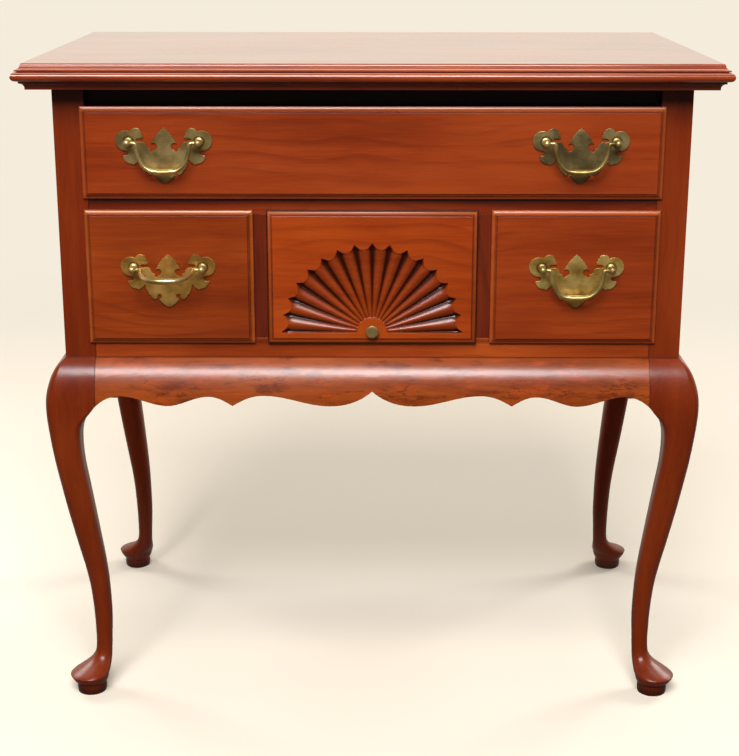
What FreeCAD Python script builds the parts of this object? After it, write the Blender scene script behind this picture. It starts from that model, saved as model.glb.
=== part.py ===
import FreeCAD, Part
import math
import os

# A lowboy: a small dressing chest with one long drawer over three short ones, on four cabriole legs.
# Sizes are in millimetres. X runs to the viewer's right, Y from the front to the back, Z up.
# The pieces are drawn with Y = 0 on the face of the front posts and Z = 0 on the floor. They are moved
# along Y when they are written, so that the origin lies below the middle of the whole object.

V = FreeCAD.Vector

# ---------------------------------------------------------------- driving dimensions: the whole
overall_width = 762.0  # over the bead of the top
overall_height = 746.0
case_depth = 400.0  # over the corner posts
bead_overhang = 36.0  # bead beyond the case, at the front and the ends
back_overhang = 25.0  # top beyond the rear posts
post_side = 34.0

# ---------------------------------------------------------------- top board and its moulding
top_thickness = 18.6
arris_setback = 10.8  # setbacks are measured back from the tip of the bead
waist_setback = 9.0
waist_drop = 3.2
fillet_setback = 4.0
fillet_drop = 6.6
fillet_height = 1.5
quirk_setback = 6.2
quirk_height = 0.9
bead_radius = 4.7
cove_height = 9.2
cove_setback = 7.0
cove_fillet = 2.3
cove_radius = 5.5

# ---------------------------------------------------------------- rails, stiles and openings
rail_thickness = 22.5
rail_depth = 50.0
rail_inset = 0.5  # rails stand this far behind the face of the posts
top_rail_height = 34.0
top_rail_inset = 14.0
top_rail_depth = 20.0
upper_opening = 90.0  # height of the long drawer's opening
lower_opening = 140.4  # height of the short drawers' openings
middle_opening = 222.6  # width of the middle short drawer's opening
stile_width = 24.8
stile_depth = 22.0
tenon_length = 15.0
tenon_thickness = 8.0
tenon_shoulder = 3.0
stile_tenon = 6.0
back_rail_depth = 18.0
back_apron_drop = 30.0  # the lowest back rail reaches this far below the case

# ---------------------------------------------------------------- panels, runners, guides, blocks
panel_thickness = 16.0
panel_inset = 1.5
panel_tongue = 8.0
back_panel_thickness = 6.0
back_panel_inset = 2.0
back_rabbet = 8.0
runner_width = 30.0  # on the drawer's side of the post's inner face
kicker_width = 20.0
guide_height = 28.0
glue_block_side = 15.0
glue_block_length = 60.0
glue_block_shares = (0.25, 0.65)  # their places along half of the front apron
corner_block_side = 20.0
screw_radius = 2.2
screw_head_radius = 4.3
screw_head_height = 2.6
screw_bite = 11.0  # into the top board
screw_recess = 14.0
screw_hole_clearance = 0.3
screws_per_side = 2

# ---------------------------------------------------------------- apron and knee
knee_inner_corner = 0.6
apron_back = 12.0  # back face of the front apron, behind the face of the posts
# The rounded face shared by the knees and the aprons: (drop below the case, projection, corner radius)
BULGE = [
    (0.0, 1.5, 1.5),
    (4.5, 6.2, 3.0),
    (9.0, 9.9, 4.5),
    (14.0, 13.1, 6.0),
    (20.0, 16.0, 7.2),
    (29.0, 19.1, 8.3),
    (39.0, 21.5, 9.0),
    (46.0, 22.4, 9.0),
    (52.0, 22.7, 9.0),
]
# The front apron's lower edge: (share of its half length, drop below the case, slope of the curve there).
# A pair of rows at one place is a cusp, where the curve changes its slope at once.
FRONT_SCALLOP = [
    [(0.0, 34.3, 0.85), (0.150, 51.0, 0.0), (0.393, 39.2, 0.0), (0.503, 50.8, 0.6)],
    [(0.503, 50.8, -0.6), (0.591, 40.4, 0.0), (0.738, 51.0, 0.0), (0.911, 40.0, 0.0), (1.0, 52.0, 0.95)],
]
SIDE_SCALLOP = [
    [
        (0.0, 36.0, 0.85), (0.26, 51.0, 0.0), (0.52, 40.0, 0.0),
        (0.70, 47.0, 0.0), (0.87, 40.5, 0.0), (1.0, 52.0, 0.95),
    ],
]

# ---------------------------------------------------------------- cabriole shank and pad foot
foot_top = 42.0  # the shank stretches between this height and the bottom of the knee
shank_inner = 15.0  # inner face of the shank just below the knee's ear, in from the post's face
# Stations down the leg, projection and inner face measured from the post's outer faces, corners as shares
# of half the section's width.
# The ear, where the knee's inner face sweeps in to the shank: (share of the shank's height, projection,
# share of the way from the shank's inner face out to the post's, outer corner, other corners)
EAR = [
    (1.0, 22.7, 1.0, 0.31, 0.02),
    (0.985, 22.7, 0.80, 0.33, 0.06),
    (0.966, 22.6, 0.547, 0.37, 0.14),
    (0.932, 22.0, 0.150, 0.46, 0.31),
]
# The shank: (share of its height, projection, inner face, outer corner, other corners)
SHANK = [
    (0.905, 21.3, 15.0, 0.52, 0.42),
    (0.864, 20.0, 14.0, 0.56, 0.50),
    (0.784, 17.0, 15.1, 0.62, 0.60),
    (0.704, 13.2, 18.3, 0.66, 0.66),
    (0.623, 9.2, 21.6, 0.71, 0.71),
    (0.543, 4.8, 24.8, 0.76, 0.76),
    (0.460, 0.0, 28.0, 0.81, 0.81),
    (0.377, -5.1, 31.0, 0.86, 0.86),
    (0.293, -9.6, 33.1, 0.91, 0.91),
    (0.210, -12.2, 34.0, 0.95, 0.95),
    (0.130, -13.5, 34.0, 0.97, 0.97),
    (0.074, -13.9, 33.0, 0.97, 0.97),
    (0.030, -13.6, 32.4, 0.97, 0.97),
]
# The flare of the foot down to the edge of its pad, and the undercut below it: (height, projection, inner)
FOOT = [
    (44.5, -12.2, 32.0),
    (38.5, -8.2, 31.8),
    (33.0, -0.8, 31.5),
    (28.5, 7.4, 31.0),
    (25.2, 13.2, 30.3),
    (22.8, 16.0, 29.4),
]
UNDERCUT = [
    (22.8, 16.0, 29.4),
    (20.0, 14.9, 28.9),
    (12.0, 8.6, 25.8),
]
foot_roundness = 0.97
disc_height = 12.0
disc_radius = 17.3
disc_edge_radius = 16.5
disc_centre = 8.5  # in from the post's outer faces

# ---------------------------------------------------------------- drawers
lip_overlap = 5.0
lip_face = 8.0  # face of a drawer, in front of the posts
lip_seat = 0.3
thumb_edge = 3.0  # face of the thumbnail's outer edge, in front of the posts
thumb_round = 4.6
thumb_width = 6.3
thumb_step = 1.0
front_body_depth = 12.0  # rabbeted part of a front, behind the face of the posts
body_clearance = 1.5
slide_clearance = 0.3
side_thickness = 11.0
side_headroom = 7.0  # between a drawer's side and the top of its opening
tail_length = 8.0
tail_pitch = 30.0
pin_half_width = 2.6
pin_flare = 1.6
bottom_thickness = 5.0
bottom_raise = 8.0
bottom_groove = 5.0
box_back_gap = 8.0
back_drop = 5.0

# ---------------------------------------------------------------- fan on the middle drawer
fan_rays = 16
fan_radius = 101.0
fan_shoulder = 92.0  # where a groove is widest and deepest
fan_hub_radius = 17.0
fan_centre_rise = 13.5  # above the drawer's lower lip edge
groove_half_width = 5.2
groove_depth = 4.2
groove_root_half_width = 0.8
groove_root_depth = 0.9
groove_overcut = 0.6

# ---------------------------------------------------------------- pulls and knob
pull_spacing = 76.2  # between the posts
pull_from_centre = 225.0  # of the case, on every drawer with pulls
upper_pull_height = 63.1  # of the posts, above the drawer's lower lip edge
lower_pull_height = 87.5
plate_thickness = 1.6
pivot_standoff = 14.0  # bail axis in front of the drawer's face
ball_radius = 4.2
post_neck_radius = 2.7
post_collar_radius = 4.6
post_collar_height = 1.6
bolt_radius = 2.0
bolt_hole_clearance = 0.25
bolt_end = 6.0  # beyond the back of the drawer's front
nut_radius = 4.4  # to its corners
nut_thickness = 3.0
pin_radius = 1.4
pin_clearance = 0.05
pin_engagement = 3.2
bail_half_width = 29.3
bail_drop = 31.5
bail_wire_radius = 2.3
bail_middle_radius = 3.5
bail_bend_radius = 15.3
raised_bail_angle = 79.0
knob_radius = 7.3
knob_height = 6.0
knob_rise = 1.6  # its axis, above the hub of the fan
knob_neck_radius = 3.6
knob_rim = 2.6
knob_screw_radius = 1.8
knob_screw_length = 14.0
plate_drawn_spacing = 76.2  # spacing of the posts for which the outline below is drawn
# Half of the backplate's outline, clockwise from its point, on axes through the middle of the two posts:
# [end] for a straight stretch, [a point on the way, end] for an arc
PLATE_START = (0.0, 15.3)
PLATE_HALF = [
    [(8.2, 7.2), (14.0, -2.9)],
    [(8.3, -5.6), (12.6, -9.0)],
    [(15.3, -9.3)],
    [(18.2, -3.6), (23.0, -0.6)],
    [(30.0, 0.4)],
    [(31.4, 1.8), (30.0, 3.2)],
    [(24.4, 3.4)],
    [(25.4, 11.9), (36.2, 9.5)],
    [(52.3, 0.5), (43.4, -10.1)],
    [(39.2, -10.8)],
    [(37.6, -12.4), (39.2, -14.0)],
    [(46.3, -15.6)],
    [(42.3, -21.9), (34.0, -24.7)],
    [(29.2, -22.7), (26.4, -18.8)],
    [(25.4, -23.8), (23.6, -28.8)],
    [(21.0, -33.2), (15.8, -35.5)],
    [(13.4, -34.2)],
    [(7.6, -31.6), (10.4, -35.0)],
    [(12.0, -37.2)],
    [(8.4, -41.2), (0.0, -45.0)],
]

# ---------------------------------------------------------------- what follows from them
half_case = overall_width / 2 - bead_overhang
post_inner = half_case - post_side
case_top = overall_height - top_thickness
top_rail_bottom = case_top - top_rail_height
middle_rail_top = top_rail_bottom - upper_opening
middle_rail_bottom = middle_rail_top - rail_thickness
bottom_rail_top = middle_rail_bottom - lower_opening
case_bottom = bottom_rail_top - rail_thickness
knee_bottom = case_bottom - BULGE[-1][0]
stile_inner = middle_opening / 2
stile_outer = stile_inner + stile_width
rear_post_front = case_depth - post_side
back_panel_back = case_depth - back_panel_inset
back_rail_back = back_panel_back - back_panel_thickness
back_rail_front = back_rail_back - back_rail_depth
rail_back = rail_inset + rail_depth
panel_outer = half_case - panel_inset
panel_inner = panel_outer - panel_thickness
box_back = back_rail_front - box_back_gap
pivot_y = -lip_face - pivot_standoff
raised = math.radians(raised_bail_angle)
raised_bail_front = pivot_y - bail_drop * math.sin(raised) - bail_middle_radius
front_most = min(raised_bail_front, -bead_overhang)
back_most = case_depth + back_overhang
origin_y = (front_most + back_most) / 2


# ---------------------------------------------------------------- drawing helpers
def box(x0, x1, y0, y1, z0, z1):
    return Part.makeBox(x1 - x0, y1 - y0, z1 - z0, V(x0, y0, z0))


def both_sides(shape):
    """The shape and its mirror image across the middle plane of the case."""
    return [shape, shape.mirror(V(0, 0, 0), V(1, 0, 0))]


def outline(start, stops, place):
    """Closed wire from start through stops, each [end] or [a point on the way, end]; place maps to 3-D."""
    edges = []
    here = start
    for stop in stops + [[start]]:
        end = stop[-1]
        if math.dist(here, end) < 1e-6:
            continue
        if len(stop) == 2:
            edges.append(Part.Arc(place(*here), place(*stop[0]), place(*end)).toShape())
        else:
            edges.append(Part.makeLine(place(*here), place(*end)))
        here = end
    return Part.Wire(edges)


def prism(start, stops, place, sweep):
    return Part.Face(outline(start, stops, place)).extrude(sweep)


def bow(a, b, sag):
    """Point beside the middle of a-b, sag to the left of the way from a to b."""
    length = math.dist(a, b)
    across = (-(b[1] - a[1]) / length, (b[0] - a[0]) / length)
    return ((a[0] + b[0]) / 2 + sag * across[0], (a[1] + b[1]) / 2 + sag * across[1])


def write(name, *solids):
    shape = solids[0] if len(solids) == 1 else Part.makeCompound(solids)
    shape = shape.copy()
    shape.translate(V(0, -origin_y, 0))
    shape.exportStep(f"parts/{name}.step")


# ---------------------------------------------------------------- top
def top_edge_stops(out, top):
    """The moulded edge from its arris down to the underside; out(setback) is the coordinate across it."""
    arris = (out(arris_setback), top)
    waist = (out(waist_setback), top - waist_drop)
    flare = (out(fillet_setback), top - fillet_drop)
    quirk = top - fillet_drop - fillet_height
    bead_top = quirk - quirk_height
    side = 1 if out(0) > out(1) else -1
    return [
        [arris],
        [bow(arris, waist, side * 0.5), waist],
        [bow(waist, flare, -side * 0.9), flare],
        [(out(fillet_setback), quirk)],
        [(out(quirk_setback), quirk)],
        [(out(quirk_setback), bead_top)],
        [(out(bead_radius), bead_top)],
        [(out(0), bead_top - bead_radius), (out(bead_radius), bead_top - 2 * bead_radius)],
        [(out(bead_radius), top - top_thickness)],
    ]


def top_board():
    def left(setback):
        return -half_case - bead_overhang + setback

    def right(setback):
        return half_case + bead_overhang - setback

    def front(setback):
        return -bead_overhang + setback

    def reversed_stops(stops):
        """The same edge walked upwards."""
        ends = [stop[-1] for stop in stops]
        vias = [stop[0] if len(stop) == 2 else None for stop in stops]
        walk = [[ends[-1]]]
        for k in range(len(stops) - 1, 0, -1):
            walk.append([vias[k], ends[k - 1]] if vias[k] else [ends[k - 1]])
        return walk

    ends = top_edge_stops(right, overall_height) + reversed_stops(top_edge_stops(left, overall_height))
    across = prism(
        ends[0][0], ends[1:], lambda x, z: V(x, -bead_overhang, z), V(0, bead_overhang + back_most, 0)
    )
    nose = top_edge_stops(front, overall_height)
    nose = nose + [[(back_most, case_top)], [(back_most, overall_height)]]
    along = prism(
        nose[0][0], nose[1:], lambda y, z: V(-overall_width / 2, y, z), V(overall_width, 0, 0)
    )
    return across.common(along)


def cove_section(place, sweep):
    face = bead_overhang - cove_setback
    low = case_top - cove_height
    cove_top = case_top - cove_fillet
    lip = (face, cove_top)
    foot = (face - cove_radius, cove_top - cove_radius)
    reach = cove_radius * math.sqrt(0.5)
    middle = (face - reach, cove_top - cove_radius + reach)
    stops = [[(face, case_top)], [lip], [middle, foot], [(face - cove_radius, low)], [(0.0, low)]]
    return prism((0.0, case_top), stops, place, sweep)


def cove_mouldings():
    reach = bead_overhang
    low = case_top - cove_height
    strip = cove_section(lambda o, z: V(-half_case - reach, -o, z), V(2 * (half_case + reach), 0, 0))
    mitre = [[(half_case + reach, -reach)], [(half_case, 0.0)], [(-half_case, 0.0)]]
    front = strip.common(
        prism((-half_case - reach, -reach), mitre, lambda x, y: V(x, y, low), V(0, 0, cove_height))
    )
    strip = cove_section(lambda o, z: V(half_case + o, -reach, z), V(0, reach + case_depth, 0))
    mitre = [[(half_case + reach, -reach)], [(half_case + reach, case_depth)], [(half_case, case_depth)]]
    right = strip.common(
        prism((half_case, 0.0), mitre, lambda x, y: V(x, y, low), V(0, 0, cove_height))
    )
    return front, right


# ---------------------------------------------------------------- rails and stiles
def tenoned(body, x_end, y0, y1, z0, z1):
    """A rail with a tenon beyond each end; x_end is half the length between the shoulders."""
    middle = (y0 + y1) / 2
    tenon = box(
        x_end, x_end + tenon_length, middle - tenon_thickness / 2, middle + tenon_thickness / 2,
        z0 + tenon_shoulder, z1 - tenon_shoulder,
    )
    return body.fuse(both_sides(tenon))


def rail(y0, y1, z0, z1):
    return tenoned(box(-post_inner, post_inner, y0, y1, z0, z1), post_inner, y0, min(y1, post_side), z0, z1)


def front_rails():
    top = rail(top_rail_inset, top_rail_inset + top_rail_depth, top_rail_bottom, case_top)
    middle = rail(rail_inset, rail_back, middle_rail_bottom, middle_rail_top)
    bottom = rail(rail_inset, rail_back, case_bottom, bottom_rail_top)
    return top, middle, bottom


def right_stile():
    stile_back = rail_inset + stile_depth
    body = box(stile_inner, stile_outer, rail_inset, stile_back, bottom_rail_top, middle_rail_bottom)
    middle = rail_inset + stile_depth / 2
    tenon = box(
        stile_inner + tenon_shoulder, stile_outer - tenon_shoulder,
        middle - tenon_thickness / 2, middle + tenon_thickness / 2,
        bottom_rail_top - stile_tenon, middle_rail_bottom + stile_tenon,
    )
    return body.fuse(tenon)


def back_rails():
    rows = [
        (top_rail_bottom, case_top),
        (middle_rail_bottom, middle_rail_top),
        (case_bottom - back_apron_drop, bottom_rail_top),
    ]
    rails = []
    for z0, z1 in rows:
        body = box(-post_inner, post_inner, back_rail_front, back_rail_back, z0, z1)
        low = max(z0, case_bottom)
        rails.append(tenoned(body, post_inner, back_rail_front, back_rail_back, low, z1))
    return rails


def right_side_panel():
    body = box(panel_inner, panel_outer, post_side, rear_post_front, case_bottom, case_top)
    tongue = box(
        panel_inner, panel_inner + panel_tongue, post_side - panel_tongue, rear_post_front + panel_tongue,
        case_bottom, case_top,
    )
    return body.fuse(tongue)


def back_panel():
    reach = post_inner + back_rabbet
    return box(-reach, reach, back_rail_back, back_panel_back, case_bottom, case_top)


# ---------------------------------------------------------------- aprons
def bulge_edge(place):
    """The rounded face from the case down to the bottom of the knee, as one smooth curve."""
    curve = Part.BSplineCurve()
    curve.interpolate([place(out, case_bottom - drop) for drop, out, _ in BULGE])
    return curve.toShape()


def apron_blank(length):
    """Apron before its lower edge is cut: centred on X, its back at Y = apron_back."""
    def at(out, z):
        return V(-length / 2, -out, z)

    top_out = BULGE[0][1]
    low_out = BULGE[-1][1]
    edges = [
        Part.makeLine(at(-apron_back, knee_bottom), at(-apron_back, case_bottom)),
        Part.makeLine(at(-apron_back, case_bottom), at(top_out, case_bottom)),
        bulge_edge(at),
        Part.makeLine(at(low_out, knee_bottom), at(-apron_back, knee_bottom)),
    ]
    return Part.Face(Part.Wire(Part.__sortEdges__(edges))).extrude(V(length, 0, 0))


def scallop_curve(rows, half, side):
    points = [V(side * share * half, 0, case_bottom - drop) for share, drop, _ in rows]
    slopes = [V(side, 0, -slope) for _, _, slope in rows]
    if side < 0:
        points.reverse()
        slopes = [-slope for slope in reversed(slopes)]
    curve = Part.BSplineCurve()
    curve.interpolate(Points=points, Tangents=slopes, TangentFlags=[True] * len(points), Scale=True)
    return curve.toShape()


def apron(length, scallop):
    half = length / 2
    curves = [scallop_curve(rows, half, side) for side in (-1, 1) for rows in scallop]
    end_z = case_bottom - scallop[-1][-1][1]
    low = end_z - post_side
    corners = [V(-half, 0, end_z), V(-half, 0, low), V(half, 0, low), V(half, 0, end_z)]
    frame = [Part.makeLine(corners[k], corners[k + 1]) for k in range(3)]
    face = Part.Face(Part.Wire(Part.__sortEdges__(curves + frame)))
    depth = post_side * 3
    face.translate(V(0, -depth / 2, 0))
    return apron_blank(length).cut(face.extrude(V(0, depth, 0)))


def side_apron():
    """The right side's apron, turned so that its rounded face looks along +X."""
    piece = apron(rear_post_front - post_side, SIDE_SCALLOP)
    piece.rotate(V(0, 0, 0), V(0, 0, 1), 90)
    piece.translate(V(half_case, case_depth / 2, 0))
    return piece


# ---------------------------------------------------------------- legs
def leg_section(z, projection, inner, outer_corner, other_corner):
    """Rounded square about the leg's diagonal, in the leg's own frame: its post fills 0..post_side."""
    lo = -projection
    hi = inner
    a = outer_corner
    b = other_corner
    stops = [
        ((hi - b, lo), None),
        ((hi, lo + b), (hi - b, lo + b)),
        ((hi, hi - b), None),
        ((hi - b, hi), (hi - b, hi - b)),
        ((lo + b, hi), None),
        ((lo, hi - b), (lo + b, hi - b)),
        ((lo, lo + a), None),
        ((lo + a, lo), (lo + a, lo + a)),
    ]
    edges = []
    here = (lo + a, lo)
    for end, centre in stops:
        start = V(here[0], here[1], z)
        finish = V(end[0], end[1], z)
        if centre is None:
            edges.append(Part.makeLine(start, finish))
        else:
            hub = V(centre[0], centre[1], z)
            chord = (start - hub) + (finish - hub)
            middle = hub + chord * ((start - hub).Length / chord.Length)
            edges.append(Part.Arc(start, middle, finish).toShape())
        here = end
    return Part.Wire(edges)


def knee():
    sections = [
        leg_section(case_bottom - drop, out, post_side, corner, knee_inner_corner)
        for drop, out, corner in BULGE
    ]
    return Part.makeLoft(sections, True, False)


def shank_rows():
    """Every station of the shank and the foot's flare: (height, projection, inner face, two corners)."""
    height = knee_bottom - foot_top
    rows = []
    for share, out, ear, outer, other in EAR:
        inner = shank_inner + (post_side - shank_inner) * ear
        rows.append((foot_top + share * height, out, inner, outer, other))
    for share, out, inner, outer, other in SHANK:
        rows.append((foot_top + share * height, out, inner, outer, other))
    return rows + foot_rows(FOOT)


def foot_rows(stations):
    return [(z, out, inner, foot_roundness, foot_roundness) for z, out, inner in stations]


def leg_loft(rows):
    sections = []
    for z, out, inner, outer, other in rows:
        half = (out + inner) / 2
        sections.append(leg_section(z, out, inner, outer * half, other * half))
    return Part.makeLoft(sections, True, False)


def foot_disc():
    centre = V(disc_centre, disc_centre, 0)
    stops = [[(disc_edge_radius, 0.0)], [(disc_radius, disc_height / 2), (disc_edge_radius, disc_height)]]
    stops = stops + [[(0.0, disc_height)]]
    half = Part.Face(outline((0.0, 0.0), stops, lambda r, z: centre + V(r, 0, z)))
    return half.revolve(centre, V(0, 0, 1), 360)


def leg(joined_pieces):
    """Front left leg in its own frame, its post cut for the pieces that are joined into it."""
    post = box(0, post_side, 0, post_side, case_bottom, case_top)
    post = post.cut(joined_pieces)
    return post.fuse([knee(), leg_loft(shank_rows()), leg_loft(foot_rows(UNDERCUT)), foot_disc()])


def place_leg(shape, side, rear):
    """side is -1 for left and 1 for right."""
    placed = shape.copy()
    if side > 0:
        placed = placed.mirror(V(0, 0, 0), V(1, 0, 0))
    if rear:
        placed = placed.mirror(V(0, 0, 0), V(0, 1, 0))
    placed.translate(V(side * half_case, case_depth if rear else 0, 0))
    return placed


def unplace(shape, side, rear):
    """A piece of the case, moved into the leg's own frame."""
    moved = shape.copy()
    moved.translate(V(-side * half_case, -case_depth if rear else 0, 0))
    if side > 0:
        moved = moved.mirror(V(0, 0, 0), V(1, 0, 0))
    if rear:
        moved = moved.mirror(V(0, 0, 0), V(0, 1, 0))
    return moved


# ---------------------------------------------------------------- runners, guides, blocks, screws
def lower_runner_rows():
    """Across X: the outer runner, and the one behind the right stile."""
    spread = runner_width / 2
    return [(post_inner - runner_width, panel_inner), (stile_inner - spread, stile_outer + spread)]


def runners(z0, z1):
    solids = []
    for x0, x1 in lower_runner_rows():
        notch = box(post_inner, half_case, rear_post_front, case_depth, z0, z1)
        solids += both_sides(box(x0, x1, rail_back, back_rail_front, z0, z1).cut(notch))
    return solids


def drawer_guides():
    upper = box(
        post_inner, panel_inner, rail_back, rear_post_front, middle_rail_top, middle_rail_top + guide_height
    )
    lower = box(
        post_inner, panel_inner, rail_back, rear_post_front, bottom_rail_top, bottom_rail_top + guide_height
    )
    behind_stile = box(
        stile_inner, stile_outer, rail_inset + stile_depth, back_rail_front,
        bottom_rail_top, bottom_rail_top + guide_height,
    )
    return both_sides(upper) + both_sides(lower) + both_sides(behind_stile)


def screw_places():
    y0 = top_rail_inset + top_rail_depth
    pitch = (back_rail_front - y0) / screws_per_side
    x = post_inner - kicker_width / 2
    return [V(x, y0 + (k + 0.5) * pitch, 0) for k in range(screws_per_side)]


def top_screw(at):
    head_bottom = top_rail_bottom + screw_recess
    head = Part.makeCylinder(screw_head_radius, screw_head_height, at + V(0, 0, head_bottom))
    seat = head_bottom + screw_head_height
    shank_length = case_top + screw_bite - seat
    return head.fuse(Part.makeCylinder(screw_radius, shank_length, at + V(0, 0, seat)))


def screw_hole(at):
    start = at + V(0, 0, top_rail_bottom)
    depth = screw_recess + screw_head_height
    pocket = Part.makeCylinder(screw_head_radius + screw_hole_clearance, depth, start)
    bore = Part.makeCylinder(screw_radius + screw_hole_clearance, top_rail_height, start)
    return pocket.fuse(bore)


def right_kicker():
    y0 = top_rail_inset + top_rail_depth
    body = box(post_inner - kicker_width, post_inner, y0, back_rail_front, top_rail_bottom, case_top)
    return body.cut([screw_hole(at) for at in screw_places()])


def glue_blocks():
    y1 = apron_back + glue_block_side
    z0 = case_bottom - glue_block_side
    half = glue_block_length / 2
    blocks = []
    for share in glue_block_shares:
        x = share * post_inner
        blocks += both_sides(box(x - half, x + half, apron_back, y1, z0, case_bottom))
    corner = box(post_inner - corner_block_side, post_inner, apron_back, post_side, knee_bottom, case_bottom)
    return blocks + both_sides(corner)


# ---------------------------------------------------------------- drawers
def lip_edge_stops(out):
    """A front's moulded edge in (across, Y), from the lip's back to the drawer's face."""
    side = 1 if out(0) > out(1) else -1
    start = (out(0), -thumb_edge)
    top = (out(thumb_round), -(lip_face - thumb_step))
    return [
        [(out(0), -lip_seat)],
        [start],
        [bow(start, top, -side * 0.9), top],
        [(out(thumb_width), -(lip_face - thumb_step))],
        [(out(thumb_width), -lip_face)],
    ]


def moulded_slab(x0, x1, z0, z1):
    def section(a, b, place, sweep):
        low = lip_edge_stops(lambda s: a + s)
        high = lip_edge_stops(lambda s: b - s)
        stops = low[1:]
        stops = stops + [[high[-1][-1]]]
        for k in range(len(high) - 1, 0, -1):
            via = [high[k][0]] if len(high[k]) == 2 else []
            stops = stops + [via + [high[k - 1][-1]]]
        return prism(low[0][0], stops, place, sweep)

    across = section(x0, x1, lambda x, y: V(x, y, z0), V(0, 0, z1 - z0))
    upright = section(z0, z1, lambda z, y: V(x0, y, z), V(x1 - x0, 0, 0))
    return across.common(upright)


def pin_row(z0, z1):
    """Heights of the whole pins between two half pins, evenly spread over a side's height."""
    count = max(2, round((z1 - z0) / tail_pitch))
    pitch = (z1 - z0) / count
    return [z0 + k * pitch for k in range(count + 1)]


def pins(x0, x1, y_tip, y_root, z0, z1):
    """Sockets between the dovetails of a drawer side: narrow at y_tip, where the tails are wide."""
    wide = pin_half_width + pin_flare
    cutters = []
    for z in pin_row(z0, z1):
        stops = [[(y_tip, z + pin_half_width)], [(y_root, z + wide)], [(y_root, z - wide)]]
        cutter = prism((y_tip, z - pin_half_width), stops, lambda y, h: V(x0, y, h), V(x1 - x0, 0, 0))
        cutters.append(cutter.common(box(x0, x1, min(y_tip, y_root), max(y_tip, y_root), z0, z1)))
    return cutters


def drawer(name, x0, x1, z0, z1, cutters=()):
    """Writes the five boards of the drawer that fills the opening x0..x1, z0..z1."""
    box_x0 = x0 + body_clearance
    box_x1 = x1 - body_clearance
    side_z0 = z0 + slide_clearance
    side_z1 = z1 - side_headroom
    bottom_z0 = side_z0 + bottom_raise
    bottom_z1 = bottom_z0 + bottom_thickness
    tail_y = front_body_depth - tail_length
    back_y = box_back - side_thickness
    bottom = box(
        box_x0 + side_thickness - bottom_groove, box_x1 - side_thickness + bottom_groove,
        front_body_depth - bottom_groove, box_back, bottom_z0, bottom_z1,
    )
    sides = []
    for a, b in ((box_x0, box_x0 + side_thickness), (box_x1 - side_thickness, box_x1)):
        board = box(a, b, tail_y, box_back, side_z0, side_z1)
        sockets = pins(a, b, tail_y, front_body_depth, side_z0, side_z1)
        sockets += pins(a, b, box_back, back_y, bottom_z1, side_z1 - back_drop)
        sides.append(board.cut(sockets + [bottom]))
    back = box(box_x0, box_x1, back_y, box_back, bottom_z1, side_z1 - back_drop).cut(sides)
    lip = moulded_slab(x0 - lip_overlap, x1 + lip_overlap, z0 - lip_overlap, z1 + lip_overlap)
    body = box(box_x0, box_x1, -lip_seat, front_body_depth, z0 + body_clearance, z1 - body_clearance)
    front = lip.fuse(body).cut(sides + [bottom] + list(cutters))
    write(f"{name}_front", front)
    write(f"{name}_left_side", sides[0])
    write(f"{name}_right_side", sides[1])
    write(f"{name}_back", back)
    write(f"{name}_bottom", bottom)


# ---------------------------------------------------------------- fan
def fan_groove(centre, angle):
    """Cutter for one V groove of the fan, pointed at its outer end."""
    along = V(math.cos(angle), 0, math.sin(angle))
    across = V(-math.sin(angle), 0, math.cos(angle))
    rows = [
        (fan_hub_radius, groove_root_half_width, groove_root_depth),
        (fan_shoulder, groove_half_width, groove_depth),
        (fan_radius, groove_root_half_width / 4, groove_root_depth / 4),
    ]
    sections = []
    for radius, half, depth in rows:
        spread = half * (1 + groove_overcut / depth)
        at = centre + along * radius
        out = at + V(0, -groove_overcut, 0)
        corners = [out - across * spread, out + across * spread, at + V(0, depth, 0)]
        sections.append(Part.makePolygon(corners + [corners[0]]))
    return Part.makeLoft(sections, True, True)


def fan_grooves(centre):
    step = math.pi / fan_rays
    return [fan_groove(centre, k * step) for k in range(fan_rays + 1)]


# ---------------------------------------------------------------- pulls
def plate_stops():
    """The backplate's whole outline: the drawn half, then the same half mirrored and walked back."""
    stops = PLATE_HALF + []
    points = [PLATE_START] + [stop[-1] for stop in PLATE_HALF]
    for k in range(len(PLATE_HALF) - 1, -1, -1):
        end = (-points[k][0], points[k][1])
        if len(PLATE_HALF[k]) == 2:
            via = PLATE_HALF[k][0]
            stops = stops + [[(-via[0], via[1]), end]]
        else:
            stops = stops + [[end]]
    return stops


def pull_plate(x, z):
    scale = pull_spacing / plate_drawn_spacing

    def at(a, b):
        return V(x + scale * a, -lip_face, z + scale * b)

    plate = prism(PLATE_START, plate_stops(), at, V(0, -plate_thickness, 0))
    return plate.cut(bolt_holes(x, z))


def bolt_hole(x, z):
    start = V(x, -lip_face - plate_thickness, z)
    depth = lip_face + plate_thickness + front_body_depth
    return Part.makeCylinder(bolt_radius + bolt_hole_clearance, depth, start, V(0, 1, 0))


def bolt_holes(x, z):
    return [bolt_hole(x + side * pull_spacing / 2, z) for side in (-1, 1)]


def pull_post(x, z, inward):
    """Round-headed post: inward is +1 or -1, the side on which the bail enters."""
    plate_face = -lip_face - plate_thickness
    collar = Part.makeCylinder(post_collar_radius, post_collar_height, V(x, plate_face, z), V(0, -1, 0))
    neck = Part.makeCylinder(post_neck_radius, plate_face - pivot_y, V(x, plate_face, z), V(0, -1, 0))
    ball = Part.makeSphere(ball_radius, V(x, pivot_y, z))
    length = front_body_depth + bolt_end - plate_face
    bolt = Part.makeCylinder(bolt_radius, length, V(x, plate_face, z), V(0, 1, 0))
    hole_depth = pin_engagement + pin_clearance
    bore = Part.makeCylinder(
        pin_radius + pin_clearance, hole_depth + 1.0,
        V(x + inward * (ball_radius - hole_depth), pivot_y, z), V(inward, 0, 0),
    )
    return ball.fuse([collar, neck, bolt]).cut(bore)


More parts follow.
